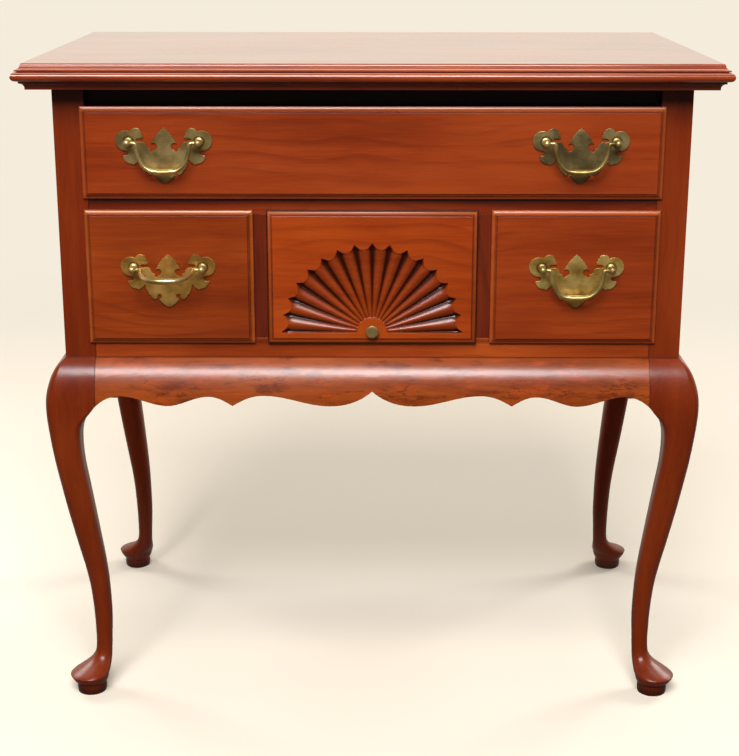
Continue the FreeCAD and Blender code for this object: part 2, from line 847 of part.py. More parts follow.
def pull_nut(x, z):
    corners = []
    for k in range(6):
        turn = math.radians(60 * k)
        corners.append(V(x + nut_radius * math.cos(turn), front_body_depth, z + nut_radius * math.sin(turn)))
    nut = Part.Face(Part.makePolygon(corners + [corners[0]])).extrude(V(0, nut_thickness, 0))
    return nut.cut(Part.makeCylinder(bolt_radius, nut_thickness, V(x, front_body_depth, z), V(0, 1, 0)))


def bail(x, z, angle):
    """Swinging handle, hanging down at angle 0 and turned outward by angle degrees."""
    bottom = -bail_drop
    bend_top = bottom + bail_bend_radius
    flat = bail_half_width - bail_bend_radius
    pin_length = pull_spacing / 2 - ball_radius + pin_engagement - bail_half_width
    pieces = []
    for side in (-1, 1):
        corner = V(side * bail_half_width, 0, 0)
        pieces.append(Part.makeCylinder(pin_radius, pin_length, corner, V(side, 0, 0)))
        crown = corner + V(0, 0, bail_wire_radius)
        pieces.append(Part.makeCylinder(bail_wire_radius, bail_wire_radius - bend_top, crown, V(0, 0, -1)))
        ring = Part.makeCircle(bail_wire_radius, V(side * bail_half_width, 0, bend_top), V(0, 0, 1))
        bend = Part.Face(Part.Wire([ring]))
        pieces.append(bend.revolve(V(side * flat, 0, bend_top), V(0, side, 0), 90))
    swell = [[(bail_middle_radius, 0.0), (bail_wire_radius, flat)], [(0.0, flat)], [(0.0, -flat)]]
    bar = Part.Face(outline((bail_wire_radius, -flat), swell, lambda r, d: V(d, 0, bottom + r)))
    pieces.append(bar.revolve(V(0, 0, bottom), V(1, 0, 0), 360))
    shape = pieces[0].fuse(pieces[1:])
    shape.rotate(V(0, 0, 0), V(1, 0, 0), -angle)
    shape.translate(V(x, pivot_y, z))
    return shape


def pull(name, x, z, angle):
    write(f"{name}_plate", pull_plate(x, z))
    left = x - pull_spacing / 2
    right = x + pull_spacing / 2
    write(
        f"{name}_posts",
        pull_post(left, z, 1), pull_post(right, z, -1), pull_nut(left, z), pull_nut(right, z),
    )
    write(f"{name}_bail", bail(x, z, angle))


def fan_knob(centre):
    """Flat round knob with its neck and its screw."""
    rim_back = knob_height - knob_rim
    head = Part.makeCylinder(knob_radius, knob_rim, centre + V(0, -rim_back, 0), V(0, -1, 0))
    neck = Part.makeCylinder(knob_neck_radius, rim_back, centre, V(0, -1, 0))
    screw = Part.makeCylinder(knob_screw_radius, knob_screw_length, centre, V(0, 1, 0))
    return head.fuse([neck, screw])


# ---------------------------------------------------------------- build
def build_case():
    front_cove, right_cove = cove_mouldings()
    left_cove = right_cove.mirror(V(0, 0, 0), V(1, 0, 0))
    top_rail, middle_rail, bottom_rail = front_rails()
    right_panel = right_side_panel()
    left_panel = right_panel.mirror(V(0, 0, 0), V(1, 0, 0))
    stiles = both_sides(right_stile())
    rails_behind = back_rails()
    rear_panel = back_panel()
    screws = [screw for at in screw_places() for screw in both_sides(top_screw(at))]
    write("top_board", top_board().cut(screws))
    write("top_screws", *screws)
    write("front_cove_moulding", front_cove)
    write("right_cove_moulding", right_cove)
    write("left_cove_moulding", left_cove)
    write("top_rail", top_rail)
    write("middle_rail", middle_rail.cut(stiles))
    write("bottom_rail", bottom_rail.cut(stiles))
    write("right_divider_stile", stiles[0])
    write("left_divider_stile", stiles[1])
    write("right_side_panel", right_panel)
    write("left_side_panel", left_panel)
    write("back_panel", rear_panel)
    write("back_rails", *rails_behind)
    write("front_apron", apron(2 * post_inner, FRONT_SCALLOP))
    right_apron = side_apron()
    write("right_side_apron", right_apron)
    write("left_side_apron", right_apron.mirror(V(0, 0, 0), V(1, 0, 0)))
    front_joints = [top_rail, middle_rail, bottom_rail, left_panel]
    rear_joints = rails_behind + [rear_panel, left_panel]
    front = leg([unplace(piece, -1, False) for piece in front_joints])
    rear = leg([unplace(piece, -1, True) for piece in rear_joints])
    for label, side in (("left", -1), ("right", 1)):
        write(f"front_{label}_leg", place_leg(front, side, False))
        write(f"rear_{label}_leg", place_leg(rear, side, True))
    write("upper_runners", *runners(middle_rail_bottom, middle_rail_top))
    write("lower_runners", *runners(case_bottom, bottom_rail_top))
    write("drawer_guides", *drawer_guides())
    write("top_kickers", *both_sides(right_kicker()))
    write("glue_blocks", *glue_blocks())


def build_drawers():
    upper_z = middle_rail_top - lip_overlap + upper_pull_height
    lower_z = bottom_rail_top - lip_overlap + lower_pull_height
    x = pull_from_centre
    drawer(
        "top_drawer", -post_inner, post_inner, middle_rail_top, top_rail_bottom,
        bolt_holes(-x, upper_z) + bolt_holes(x, upper_z),
    )
    low = bottom_rail_top
    high = middle_rail_bottom
    drawer("left_drawer", -post_inner, -stile_outer, low, high, bolt_holes(-x, lower_z))
    drawer("right_drawer", stile_outer, post_inner, low, high, bolt_holes(x, lower_z))
    centre = V(0, -lip_face, low - lip_overlap + fan_centre_rise)
    knob = fan_knob(centre + V(0, 0, knob_rise))
    drawer("middle_drawer", -stile_inner, stile_inner, low, high, fan_grooves(centre) + [knob])
    write("fan_knob", knob)
    pull("top_left_pull", -x, upper_z, 0)
    pull("top_right_pull", x, upper_z, 0)
    pull("left_pull", -x, lower_z, raised_bail_angle)
    pull("right_pull", x, lower_z, 0)


os.makedirs("parts", exist_ok=True)
build_case()
build_drawers()
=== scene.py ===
"""A lowboy in figured cherry: finishes, carved fan, brass pulls and the studio that lights it.

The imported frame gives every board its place. The boards are kept and finished here. The carved,
pierced and turned pieces are modelled in the same frame and stand for their plain blanks.
"""

import logging
import math
from collections.abc import Iterable, Sequence
from dataclasses import dataclass, replace
from enum import Enum

import bmesh
import bpy
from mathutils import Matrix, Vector


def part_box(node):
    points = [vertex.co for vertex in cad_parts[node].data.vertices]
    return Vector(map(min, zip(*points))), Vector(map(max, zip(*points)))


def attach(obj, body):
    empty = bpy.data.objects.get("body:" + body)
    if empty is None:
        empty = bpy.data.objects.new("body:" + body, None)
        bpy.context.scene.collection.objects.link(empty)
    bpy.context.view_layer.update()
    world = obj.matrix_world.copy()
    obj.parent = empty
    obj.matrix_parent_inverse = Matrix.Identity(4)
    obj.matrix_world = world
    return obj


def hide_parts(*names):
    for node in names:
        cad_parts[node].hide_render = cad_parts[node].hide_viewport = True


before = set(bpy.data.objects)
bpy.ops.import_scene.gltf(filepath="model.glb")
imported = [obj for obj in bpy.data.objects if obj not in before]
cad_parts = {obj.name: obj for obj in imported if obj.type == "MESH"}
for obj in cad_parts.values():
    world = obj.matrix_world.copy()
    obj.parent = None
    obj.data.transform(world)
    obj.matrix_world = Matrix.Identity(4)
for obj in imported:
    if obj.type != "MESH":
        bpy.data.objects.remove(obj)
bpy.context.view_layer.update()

LOG = logging.getLogger("lowboy")
MM = 0.001
EPSILON = 1e-5
FRONT_FACING = -0.9  # the most that the Y of a normal may be on a face that looks to the front

Point = tuple[float, float]
Triple = tuple[float, float, float]
Colour = tuple[float, float, float]
Piece = bpy.types.Object
Socket = bpy.types.NodeSocket
Feeds = dict[str | int, object]

ORIGIN: Triple = (0.0, 0.0, 0.0)


def srgb(red: int, green: int, blue: int) -> Colour:
    """A colour from its 8-bit display values.

    Args:
        red: display red, 0 to 255.
        green: display green, 0 to 255.
        blue: display blue, 0 to 255.

    Returns:
        The same colour in linear light.
    """
    def linear(level: int) -> float:
        """One channel in linear light."""
        share = level / 255
        return share / 12.92 if share <= 0.04045 else ((share + 0.055) / 1.055) ** 2.4

    return (linear(red), linear(green), linear(blue))


def toned(colour: Colour, factors: Colour) -> Colour:
    """A colour with each of its channels times a factor."""
    return tuple(level * factor for level, factor in zip(colour, factors))


def mm(across: float, back: float, up: float) -> Vector:
    """A vector from lengths in millimetres."""
    return Vector((across * MM, back * MM, up * MM))


class GrainAxis(Enum):
    """The way that the grain of a board runs, as the turn that lays the growth rings along it."""

    ALONG_X = (0.0, 90.0, 0.0)
    ALONG_Y = (90.0, 0.0, 0.0)
    ALONG_Z = ORIGIN


@dataclass(frozen=True)
class Cloud:
    """A cloud pattern: how fine, its finer layers and their strength, and its two stretches."""

    scale: float
    detail: float = 2.0
    rough: float = 0.5
    along: float = 1.0
    across: float = 1.0


@dataclass
class Nodes:
    """A node tree that is put together step by step."""

    tree: bpy.types.NodeTree

    def feed(self, node: bpy.types.Node, feeds: Feeds) -> None:
        """Fills a node's inputs.

        Args:
            node: the node.
            feeds: for each input an output to link or a plain value to set.
        """
        for key, value in feeds.items():
            if isinstance(value, Socket):
                self.tree.links.new(value, node.inputs[key])
            else:
                node.inputs[key].default_value = value

    def node(self, kind: str, feeds: Feeds, **settings: object) -> bpy.types.Node:
        """Adds a node.

        Args:
            kind: its type, without its ShaderNode prefix.
            feeds: what goes into its inputs.
            settings: its properties by name.

        Returns:
            The new node.
        """
        made = self.tree.nodes.new("ShaderNode" + kind)
        for name, value in settings.items():
            setattr(made, name, value)
        self.feed(made, feeds)
        return made

    def read(self, kind: str, output: str) -> Socket:
        """What a node without inputs says, such as a place or a kind of ray."""
        return self.node(kind, {}).outputs[output]

    def along(self, axis: str, place: str = "Object") -> Socket:
        """The place along one axis of the frame in metres, or of other coordinates."""
        return self.node("SeparateXYZ", {0: self.read("TexCoord", place)}).outputs[axis]

    def math(self, operation: str, first: Socket, second: Socket | float = 0.0) -> Socket:
        """One sum of two values."""
        return self.node("Math", {0: first, 1: second}, operation=operation).outputs[0]

    def gap(self, value: Socket, other: Socket | float) -> Socket:
        """How far a value is from another, either way."""
        return self.math("ABSOLUTE", self.math("SUBTRACT", value, other))

    def ranged(self, value: Socket, low: float, high: float, to_low: float = 0.0,
               to_high: float = 1.0) -> Socket:
        """A value moved from one range to another, and held inside it.

        Args:
            value: what is moved.
            low: start of its range.
            high: end of its range.
            to_low: what the start becomes.
            to_high: what the end becomes.

        Returns:
            The moved value.
        """
        return self.node("MapRange", {
            "Value": value, "From Min": low, "From Max": high, "To Min": to_low, "To Max": to_high,
        }, interpolation_type="SMOOTHSTEP").outputs["Result"]


class Recipe(Nodes):
    """One procedural finish. Its colours are laid over one another and then go to the shader."""

    def __init__(self, name: str, turn: Triple = ORIGIN, shift: Triple = ORIGIN) -> None:
        """Starts an empty finish.

        Args:
            name: what the material is called.
            turn: degrees about each axis that lay its patterns along the grain.
            shift: metres along each axis that make it differ from other pieces.
        """
        self.material = bpy.data.materials.new(name)
        self.material.use_nodes = True
        super().__init__(self.material.node_tree)
        self.shader = self.tree.nodes["Principled BSDF"]
        self.turn = [math.radians(angle) for angle in turn]
        self.shift = shift
        self.colour: Socket | None = None

    def place(self, along: float = 1.0, across: float = 1.0) -> Socket:
        """The piece's own coordinates, turned, shifted and stretched for a pattern.

        Args:
            along: stretch along the grain.
            across: stretch along the first axis.

        Returns:
            The pattern's coordinates.
        """
        own = self.read("TexCoord", "Object")
        feeds = {"Rotation": self.turn, "Location": self.shift, "Vector": own}
        turned = self.node("Mapping", feeds).outputs["Vector"]
        feeds = {"Scale": (across, 1.0, along), "Vector": turned}
        return self.node("Mapping", feeds).outputs["Vector"]

    def cloud(self, pattern: Cloud, output: str = "Fac") -> Socket:
        """A cloud pattern laid along the grain.

        Args:
            pattern: its kind.
            output: which of its outputs is wanted.

        Returns:
            That output.
        """
        return self.node("TexNoise", {
            "Scale": pattern.scale, "Detail": pattern.detail, "Roughness": pattern.rough,
            "Vector": self.place(pattern.along, pattern.across),
        }).outputs[output]

    def sum(self, *parts: tuple[Socket, float]) -> Socket:
        """Adds values, each times its share.

        Args:
            parts: each value and its share.

        Returns:
            The total.
        """
        total: Socket | float = 0.0
        for value, share in parts:
            total = self.node(
                "Math", {0: value, 1: share, 2: total}, operation="MULTIPLY_ADD").outputs[0]
        return total

    def ramp(self, value: Socket, *colours: Colour) -> None:
        """Lays the ground: colours in even steps along a value.

        Args:
            value: the place on the ramp, from 0 to 1.
            colours: the colours in order.
        """
        made = self.node("ValToRGB", {"Fac": value})
        points = made.color_ramp.elements
        while len(points) < len(colours):
            points.new(0.5)
        for k, (point, colour) in enumerate(zip(points, colours)):
            point.position = k / (len(colours) - 1)
            point.color = (*colour, 1.0)
        self.colour = made.outputs["Color"]

    def cover(self, share: Socket, colour: Colour, tint: Colour = (1.0, 1.0, 1.0)) -> None:
        """Lays a colour, tinted if wished, over what is there, as much as a mask says."""
        feeds = {"Factor": share, 6: self.colour, 7: (*toned(colour, tint), 1.0)}
        self.colour = self.node("Mix", feeds, data_type="RGBA").outputs[2]

    def rounded(self, radius: float) -> tuple[Socket, Socket]:
        """Rounds the arrises a little, and finds them.

        Args:
            radius: radius of the rounding in metres.

        Returns:
            The rounded normal, and a mask that is 1 on an arris.
        """
        bevel = self.node("Bevel", {"Radius": radius}, samples=4).outputs["Normal"]
        level = self.node("VectorMath", {
            0: bevel, 1: self.read("NewGeometry", "Normal")}, operation="DOT_PRODUCT")
        return bevel, self.ranged(level.outputs["Value"], 0.80, 0.99, 1.0, 0.0)

    def bump(self, height: Socket, strength: float, depth: float,
             normal: Socket | None = None) -> None:
        """Roughens the surface with a height pattern.

        Args:
            height: the pattern, from 0 to 1.
            strength: how much of it shows.
            depth: its depth in metres.
            normal: the surface's normal, where it has been rounded.
        """
        feeds = {"Strength": strength, "Distance": depth, "Height": height}
        if normal is not None:
            feeds["Normal"] = normal
        self.feed(self.shader, {"Normal": self.node("Bump", feeds).outputs["Normal"]})

    def finish(self, **levels: object) -> bpy.types.Material:
        """Gives the shader its colour and its levels.

        Args:
            levels: outputs or plain values by the shader's names, with underscores for spaces.

        Returns:
            The finished material.
        """
        named = {name.replace("_", " "): level for name, level in levels.items()}
        self.feed(self.shader, {"Base Color": self.colour, **named})
        return self.material


@dataclass(frozen=True)
class Cherry:
    """Lacquered cherry: streaks and flames, masked ring lines, gum marks, worn arrises, dark
    joints, glaze with painted shade in carving, painted shade under lips, ledges and the top, and
    painted highlights on lip crowns.

    The rings are cut by the board's face at a slant, which draws the long pointed figure of a
    flat sawn board. Lengths are in metres, and the tints are factors of the board's tone.
    """

    name: str
    grain: GrainAxis
    tone: Colour = srgb(139, 53, 9)
    shift: Triple = ORIGIN
    figure: float = 0.35  # strength of the ring lines
    contrast: float = 1.0
    gum: float = 0.5
    curl: float = 0.0  # strength of the wild figure
    sheen: float = 0.45
    gloss: float = 0.27
    coat: float = 0.45
    coat_haze: float = 0.22  # roughness of the lacquer
    arris: float = 0.0007
    seams: tuple[tuple[str, float, float, float], ...] = ()  # dark joints and painted shade: axis, place, reach and strength
    field: tuple[float, float, float, float] | None = None  # as drawer_field gives it
    glaze_and_shade_from: float | None = None  # where along Y the thick glaze and painted shade start

    DARK_TINT = (0.60, 0.48, 0.40)
    LIGHT_TINT = (1.36, 1.66, 1.9)
    RING_TINT = (0.42, 0.30, 0.25)
    PATCH_TINT = (0.56, 0.44, 0.46)
    WARM_TINT = (1.35, 1.15, 0.9)
    VEIN_TINT = (0.28, 0.16, 0.14)
    PORE_TINT = (0.5, 0.36, 0.3)
    WORN_TINT = (1.6, 2.1, 2.6)
    LIP_HIGHLIGHT_TINT = (1.8, 3.5, 9.0)
    STREAK = Cloud(75.0, 3.0, 0.55, along=0.045)
    FLAME = Cloud(14.0, 3.0, 0.55, along=0.25)
    FIBRE = Cloud(640.0, 2.0, 0.6, along=0.04)
    BROAD = Cloud(6.0, along=0.7)
    BEND = Cloud(7.0, along=0.45)
    RING_MASK = Cloud(11.0, along=0.4)
    PATCH = Cloud(88.0, 4.0, 0.6, along=0.34)
    VEIN = Cloud(84.0, 4.0, 0.62, along=0.26)
    VEIN_MASK = Cloud(24.0, along=0.5)
    PORE = Cloud(300.0, 1.0, 0.4, along=0.05)
    MIDDLE_LEVEL = 0.57
    LEVEL_REACH = 0.20
    WEAR = 0.3
    RING_WIDTH = 0.016
    SWIRL = 0.03
    APRON_ROLL = (0.394, 0.406)  # heights between which the apron's roll turns its face upwards
    LIP_CROWN = 0.0034  # from the field to the highest line of the lip
    GLAZE_AND_SHADE_DEPTH = 0.0025

    def material(self) -> bpy.types.Material:
        """Builds the finish.

        Returns:
            The finished material.
        """
        recipe = Recipe(self.name, self.grain.value, self.shift)
        flame = recipe.cloud(self.FLAME)
        fibre = recipe.cloud(self.FIBRE)
        level = recipe.sum((recipe.cloud(self.STREAK), 0.26), (flame, 0.34), (fibre, 0.16),
                           (recipe.cloud(self.BROAD), 0.38))
        reach = self.LEVEL_REACH / self.contrast
        recipe.ramp(
            recipe.ranged(level, self.MIDDLE_LEVEL - reach, self.MIDDLE_LEVEL + reach),
            toned(self.tone, self.DARK_TINT), self.tone, toned(self.tone, self.LIGHT_TINT))
        self._ringed(recipe)
        if self.curl:
            self._curled(recipe)
        self._marked(recipe)
        normal, arris = recipe.rounded(self.arris)
        worn = recipe.ranged(flame, 0.35, 0.6, 0.4 * self.WEAR, self.WEAR)
        recipe.cover(recipe.math("MULTIPLY", arris, worn), self.tone, self.WORN_TINT)
        self._lay_joint_and_shade_lines(recipe)
        if self.field is not None:
            self._lipped(recipe)
        if self.glaze_and_shade_from is not None:
            self._lay_glaze_and_shade(recipe)
        recipe.bump(fibre, strength=0.05, depth=0.0002, normal=normal)
        return recipe.finish(
            Roughness=recipe.ranged(flame, 0.3, 0.7, self.gloss - 0.03, self.gloss + 0.05),
            Specular_IOR_Level=self.sheen, Coat_Weight=self.coat, Coat_Roughness=self.coat_haze)

    def _ringed(self, recipe: Recipe) -> None:
        """Lays thin dark ring lines, bent by slow clouds and shown only in places.

        Args:
            recipe: the finish so far.
        """
        centred = recipe.node(
            "VectorMath", {0: recipe.cloud(self.BEND, "Color"), 1: (0.5, 0.5, 0.5)},
            operation="SUBTRACT")
        bent = recipe.node("VectorMath", {
            0: centred.outputs[0], 1: (self.SWIRL * 4, self.SWIRL * 4, self.SWIRL),
            2: recipe.place(0.12),
        }, operation="MULTIPLY_ADD")
        rings = recipe.node("TexWave", {
            "Vector": bent.outputs[0], "Scale": 0.314 / self.RING_WIDTH, "Distortion": 2.6,
            "Detail": 3.0, "Detail Scale": 1.6,
        }, wave_type="RINGS", rings_direction="Z", wave_profile="SAW")
        line = recipe.ranged(rings.outputs["Fac"], 0.55, 0.97)
        shown = recipe.ranged(
            recipe.cloud(self.RING_MASK), 0.45, 0.62, 0.15 * self.figure, self.figure)
        recipe.cover(recipe.math("MULTIPLY", line, shown), self.tone, self.RING_TINT)

    def _curled(self, recipe: Recipe) -> None:
        """Lays the wild figure of a crotch board: warm and brown patches with thin dark squiggles.

        Args:
            recipe: the finish so far.
        """
        patch = recipe.cloud(self.PATCH)
        brown = recipe.ranged(patch, 0.52, 0.70, 0.0, self.curl)
        warm = recipe.ranged(patch, 0.48, 0.32, 0.0, self.curl)
        recipe.cover(brown, self.tone, self.PATCH_TINT)
        recipe.cover(warm, self.tone, self.WARM_TINT)
        away = recipe.gap(recipe.cloud(self.VEIN), 0.5)
        patchy = recipe.ranged(recipe.cloud(self.VEIN_MASK), 0.46, 0.62, 0.03, 0.8)
        # painted light: the dark veins are faded on the roll, where the highlight falls, so that
        # band stays lighter
        low = recipe.ranged(recipe.along("Z"), *self.APRON_ROLL, 1.0, 0.2)
        thin = recipe.ranged(away, 0.002, 0.024, 0.9 * self.curl, 0.0)
        shown = recipe.math("MULTIPLY", thin, recipe.math("MULTIPLY", patchy, low))
        recipe.cover(shown, self.tone, self.VEIN_TINT)

    def _marked(self, recipe: Recipe) -> None:
        """Lays fine dark pores along the grain and a few gum pockets.

        Args:
            recipe: the finish so far.
        """
        pores = recipe.ranged(recipe.cloud(self.PORE), 0.64, 0.76, 0.0, 0.5 * self.gum)
        recipe.cover(pores, self.tone, self.PORE_TINT)
        cells = recipe.node("TexVoronoi", {"Scale": 8.0, "Vector": recipe.place(0.4)}, feature="F1")
        pockets = recipe.ranged(cells.outputs["Distance"], 0.012, 0.032, 1.2 * self.gum, 0.0)
        recipe.cover(pockets, srgb(52, 13, 5))

    def _lay_joint_and_shade_lines(self, recipe: Recipe) -> None:
        """Lays dark bands from a list: dark joints where this piece meets its neighbours, and
        painted shade under lips, under the top and at the knees' ledge.

        Args:
            recipe: the finish so far.
        """
        for axis, at, reach, share in self.seams:
            away = recipe.gap(recipe.math("ABSOLUTE", recipe.along(axis)), at)
            recipe.cover(recipe.ranged(away, 0.15 * reach, reach, share, 0.0), srgb(40, 10, 4))

    def _lipped(self, recipe: Recipe) -> None:
        """Lays a painted highlight on the crown of a front's lip, strongest on its top run, and
        painted shade in the step beside it.

        Args:
            recipe: the finish so far.
        """
        middle_x, middle_z, half_x, half_z = self.field
        across = recipe.math("SUBTRACT", recipe.gap(recipe.along("X"), middle_x), half_x)
        height = recipe.math("SUBTRACT", recipe.gap(recipe.along("Z"), middle_z), half_z)
        outside = recipe.math("MAXIMUM", across, height)
        # painted highlight: the lip's crown is lightened all round, and most on its top run, where
        # the light from above falls
        crown = recipe.ranged(recipe.gap(outside, self.LIP_CROWN), 0.0006, 0.0026, 1.0, 0.0)
        above = recipe.math("SUBTRACT", recipe.along("Z"), middle_z + half_z)
        rubbed = recipe.math("MULTIPLY", crown, recipe.ranged(above, 0.0, 0.0008, 0.35, 0.85))
        recipe.cover(rubbed, self.tone, self.LIP_HIGHLIGHT_TINT)
        # painted shade: a dark line in the lip's small step
        step = recipe.ranged(recipe.math("ABSOLUTE", outside), 0.0003, 0.0011, 0.5, 0.0)
        recipe.cover(step, srgb(48, 12, 5))

    def _lay_glaze_and_shade(self, recipe: Recipe) -> None:
        """Lays dark glaze and painted shade in what is carved below a front's face, darker the
        deeper it lies.

        Args:
            recipe: the finish so far.
        """
        depth, start = recipe.along("Y"), self.glaze_and_shade_from
        # glaze with painted shade: a light tint just below the face, and near-black deep in the
        # grooves
        thin = recipe.ranged(depth, start - 0.0011, start - 0.0006, 0.0, 0.36)
        thick = recipe.ranged(depth, start, start + self.GLAZE_AND_SHADE_DEPTH, 0.0, 0.95)
        recipe.cover(thin, srgb(70, 18, 6))
        recipe.cover(thick, srgb(40, 8, 2))


@dataclass(frozen=True)
class Poplar:
    """Bare secondary wood of the drawer boxes, the runners and the back."""

    name: str
    grain: GrainAxis

    DARK = srgb(150, 116, 76)
    MIDDLE = srgb(190, 158, 114)
    LIGHT = srgb(214, 188, 148)
    HEART = srgb(150, 134, 92)

    def material(self) -> bpy.types.Material:
        """Builds the finish.

        Returns:
            The finished material.
        """
        recipe = Recipe(self.name, self.grain.value)
        bands = recipe.cloud(Cloud(60.0, 4.0, 0.6, along=0.05))
        fibre = recipe.cloud(Cloud(700.0, 2.0, 0.6, along=0.03))
        level = recipe.sum((bands, 0.66), (fibre, 0.34))
        recipe.ramp(recipe.ranged(level, 0.36, 0.64), self.DARK, self.MIDDLE, self.LIGHT)
        heart = recipe.cloud(Cloud(9.0, along=0.08))
        recipe.cover(recipe.ranged(heart, 0.52, 0.68, 0.0, 0.4), self.HEART)
        recipe.bump(fibre, strength=0.25, depth=0.0004)
        return recipe.finish(
            Roughness=recipe.ranged(bands, 0.3, 0.7, 0.6, 0.72), Specular_IOR_Level=0.3)


@dataclass(frozen=True)
class Metal:
    """Cast or turned metal with a mottled patina, and darkened in a ring round the collars on it.
    """

    name: str
    bright: Colour
    middle: Colour
    dull: Colour
    polish: float = 0.3
    metallic: float = 1.0
    shift: Triple = ORIGIN
    collars: tuple[Point, ...] = ()

    COLLAR_RADIUS = 0.0047
    COLLAR_DARKENING_REACH = 0.0028

    def material(self) -> bpy.types.Material:
        """Builds the finish.

        Returns:
            The finished material.
        """
        recipe = Recipe(self.name, shift=self.shift)
        mottle = recipe.cloud(Cloud(45.0, 3.0))
        grit = recipe.cloud(Cloud(1400.0, 2.0, 0.6))
        rubbed = recipe.cloud(Cloud(900.0, across=0.12))
        level = recipe.sum((mottle, 0.8), (grit, 0.12), (rubbed, 0.08))
        normal, arris = recipe.rounded(0.0003)
        recipe.ramp(recipe.ranged(level, 0.32, 0.68), self.dull, self.middle, self.bright)
        recipe.cover(recipe.math("MULTIPLY", arris, 0.5), self.bright)
        for across, height in self.collars:
            flat = recipe.node("VectorMath", {
                0: recipe.read("TexCoord", "Object"), 1: (1.0, 0.0, 1.0)}, operation="MULTIPLY")
            away = recipe.node("VectorMath", {
                0: flat.outputs[0], 1: (across, 0.0, height)}, operation="DISTANCE")
            # the plate is darkened in a ring round each post's collar
            collar_darkening = recipe.ranged(away.outputs["Value"], self.COLLAR_RADIUS,
                                  self.COLLAR_RADIUS + self.COLLAR_DARKENING_REACH, 0.85, 0.0)
            recipe.cover(collar_darkening, srgb(46, 34, 18))
        recipe.bump(rubbed, strength=0.08, depth=0.0002, normal=normal)
        return recipe.finish(
            Roughness=recipe.ranged(level, 0.34, 0.68, self.polish + 0.12, self.polish),
            Metallic=self.metallic)


def take(*pieces: Piece) -> None:
    """Selects pieces alone, with the first of them active.

    Args:
        pieces: what is selected.
    """
    bpy.ops.object.select_all(action="DESELECT")
    bpy.context.view_layer.objects.active = pieces[0]
    for piece in pieces:
        piece.select_set(True)


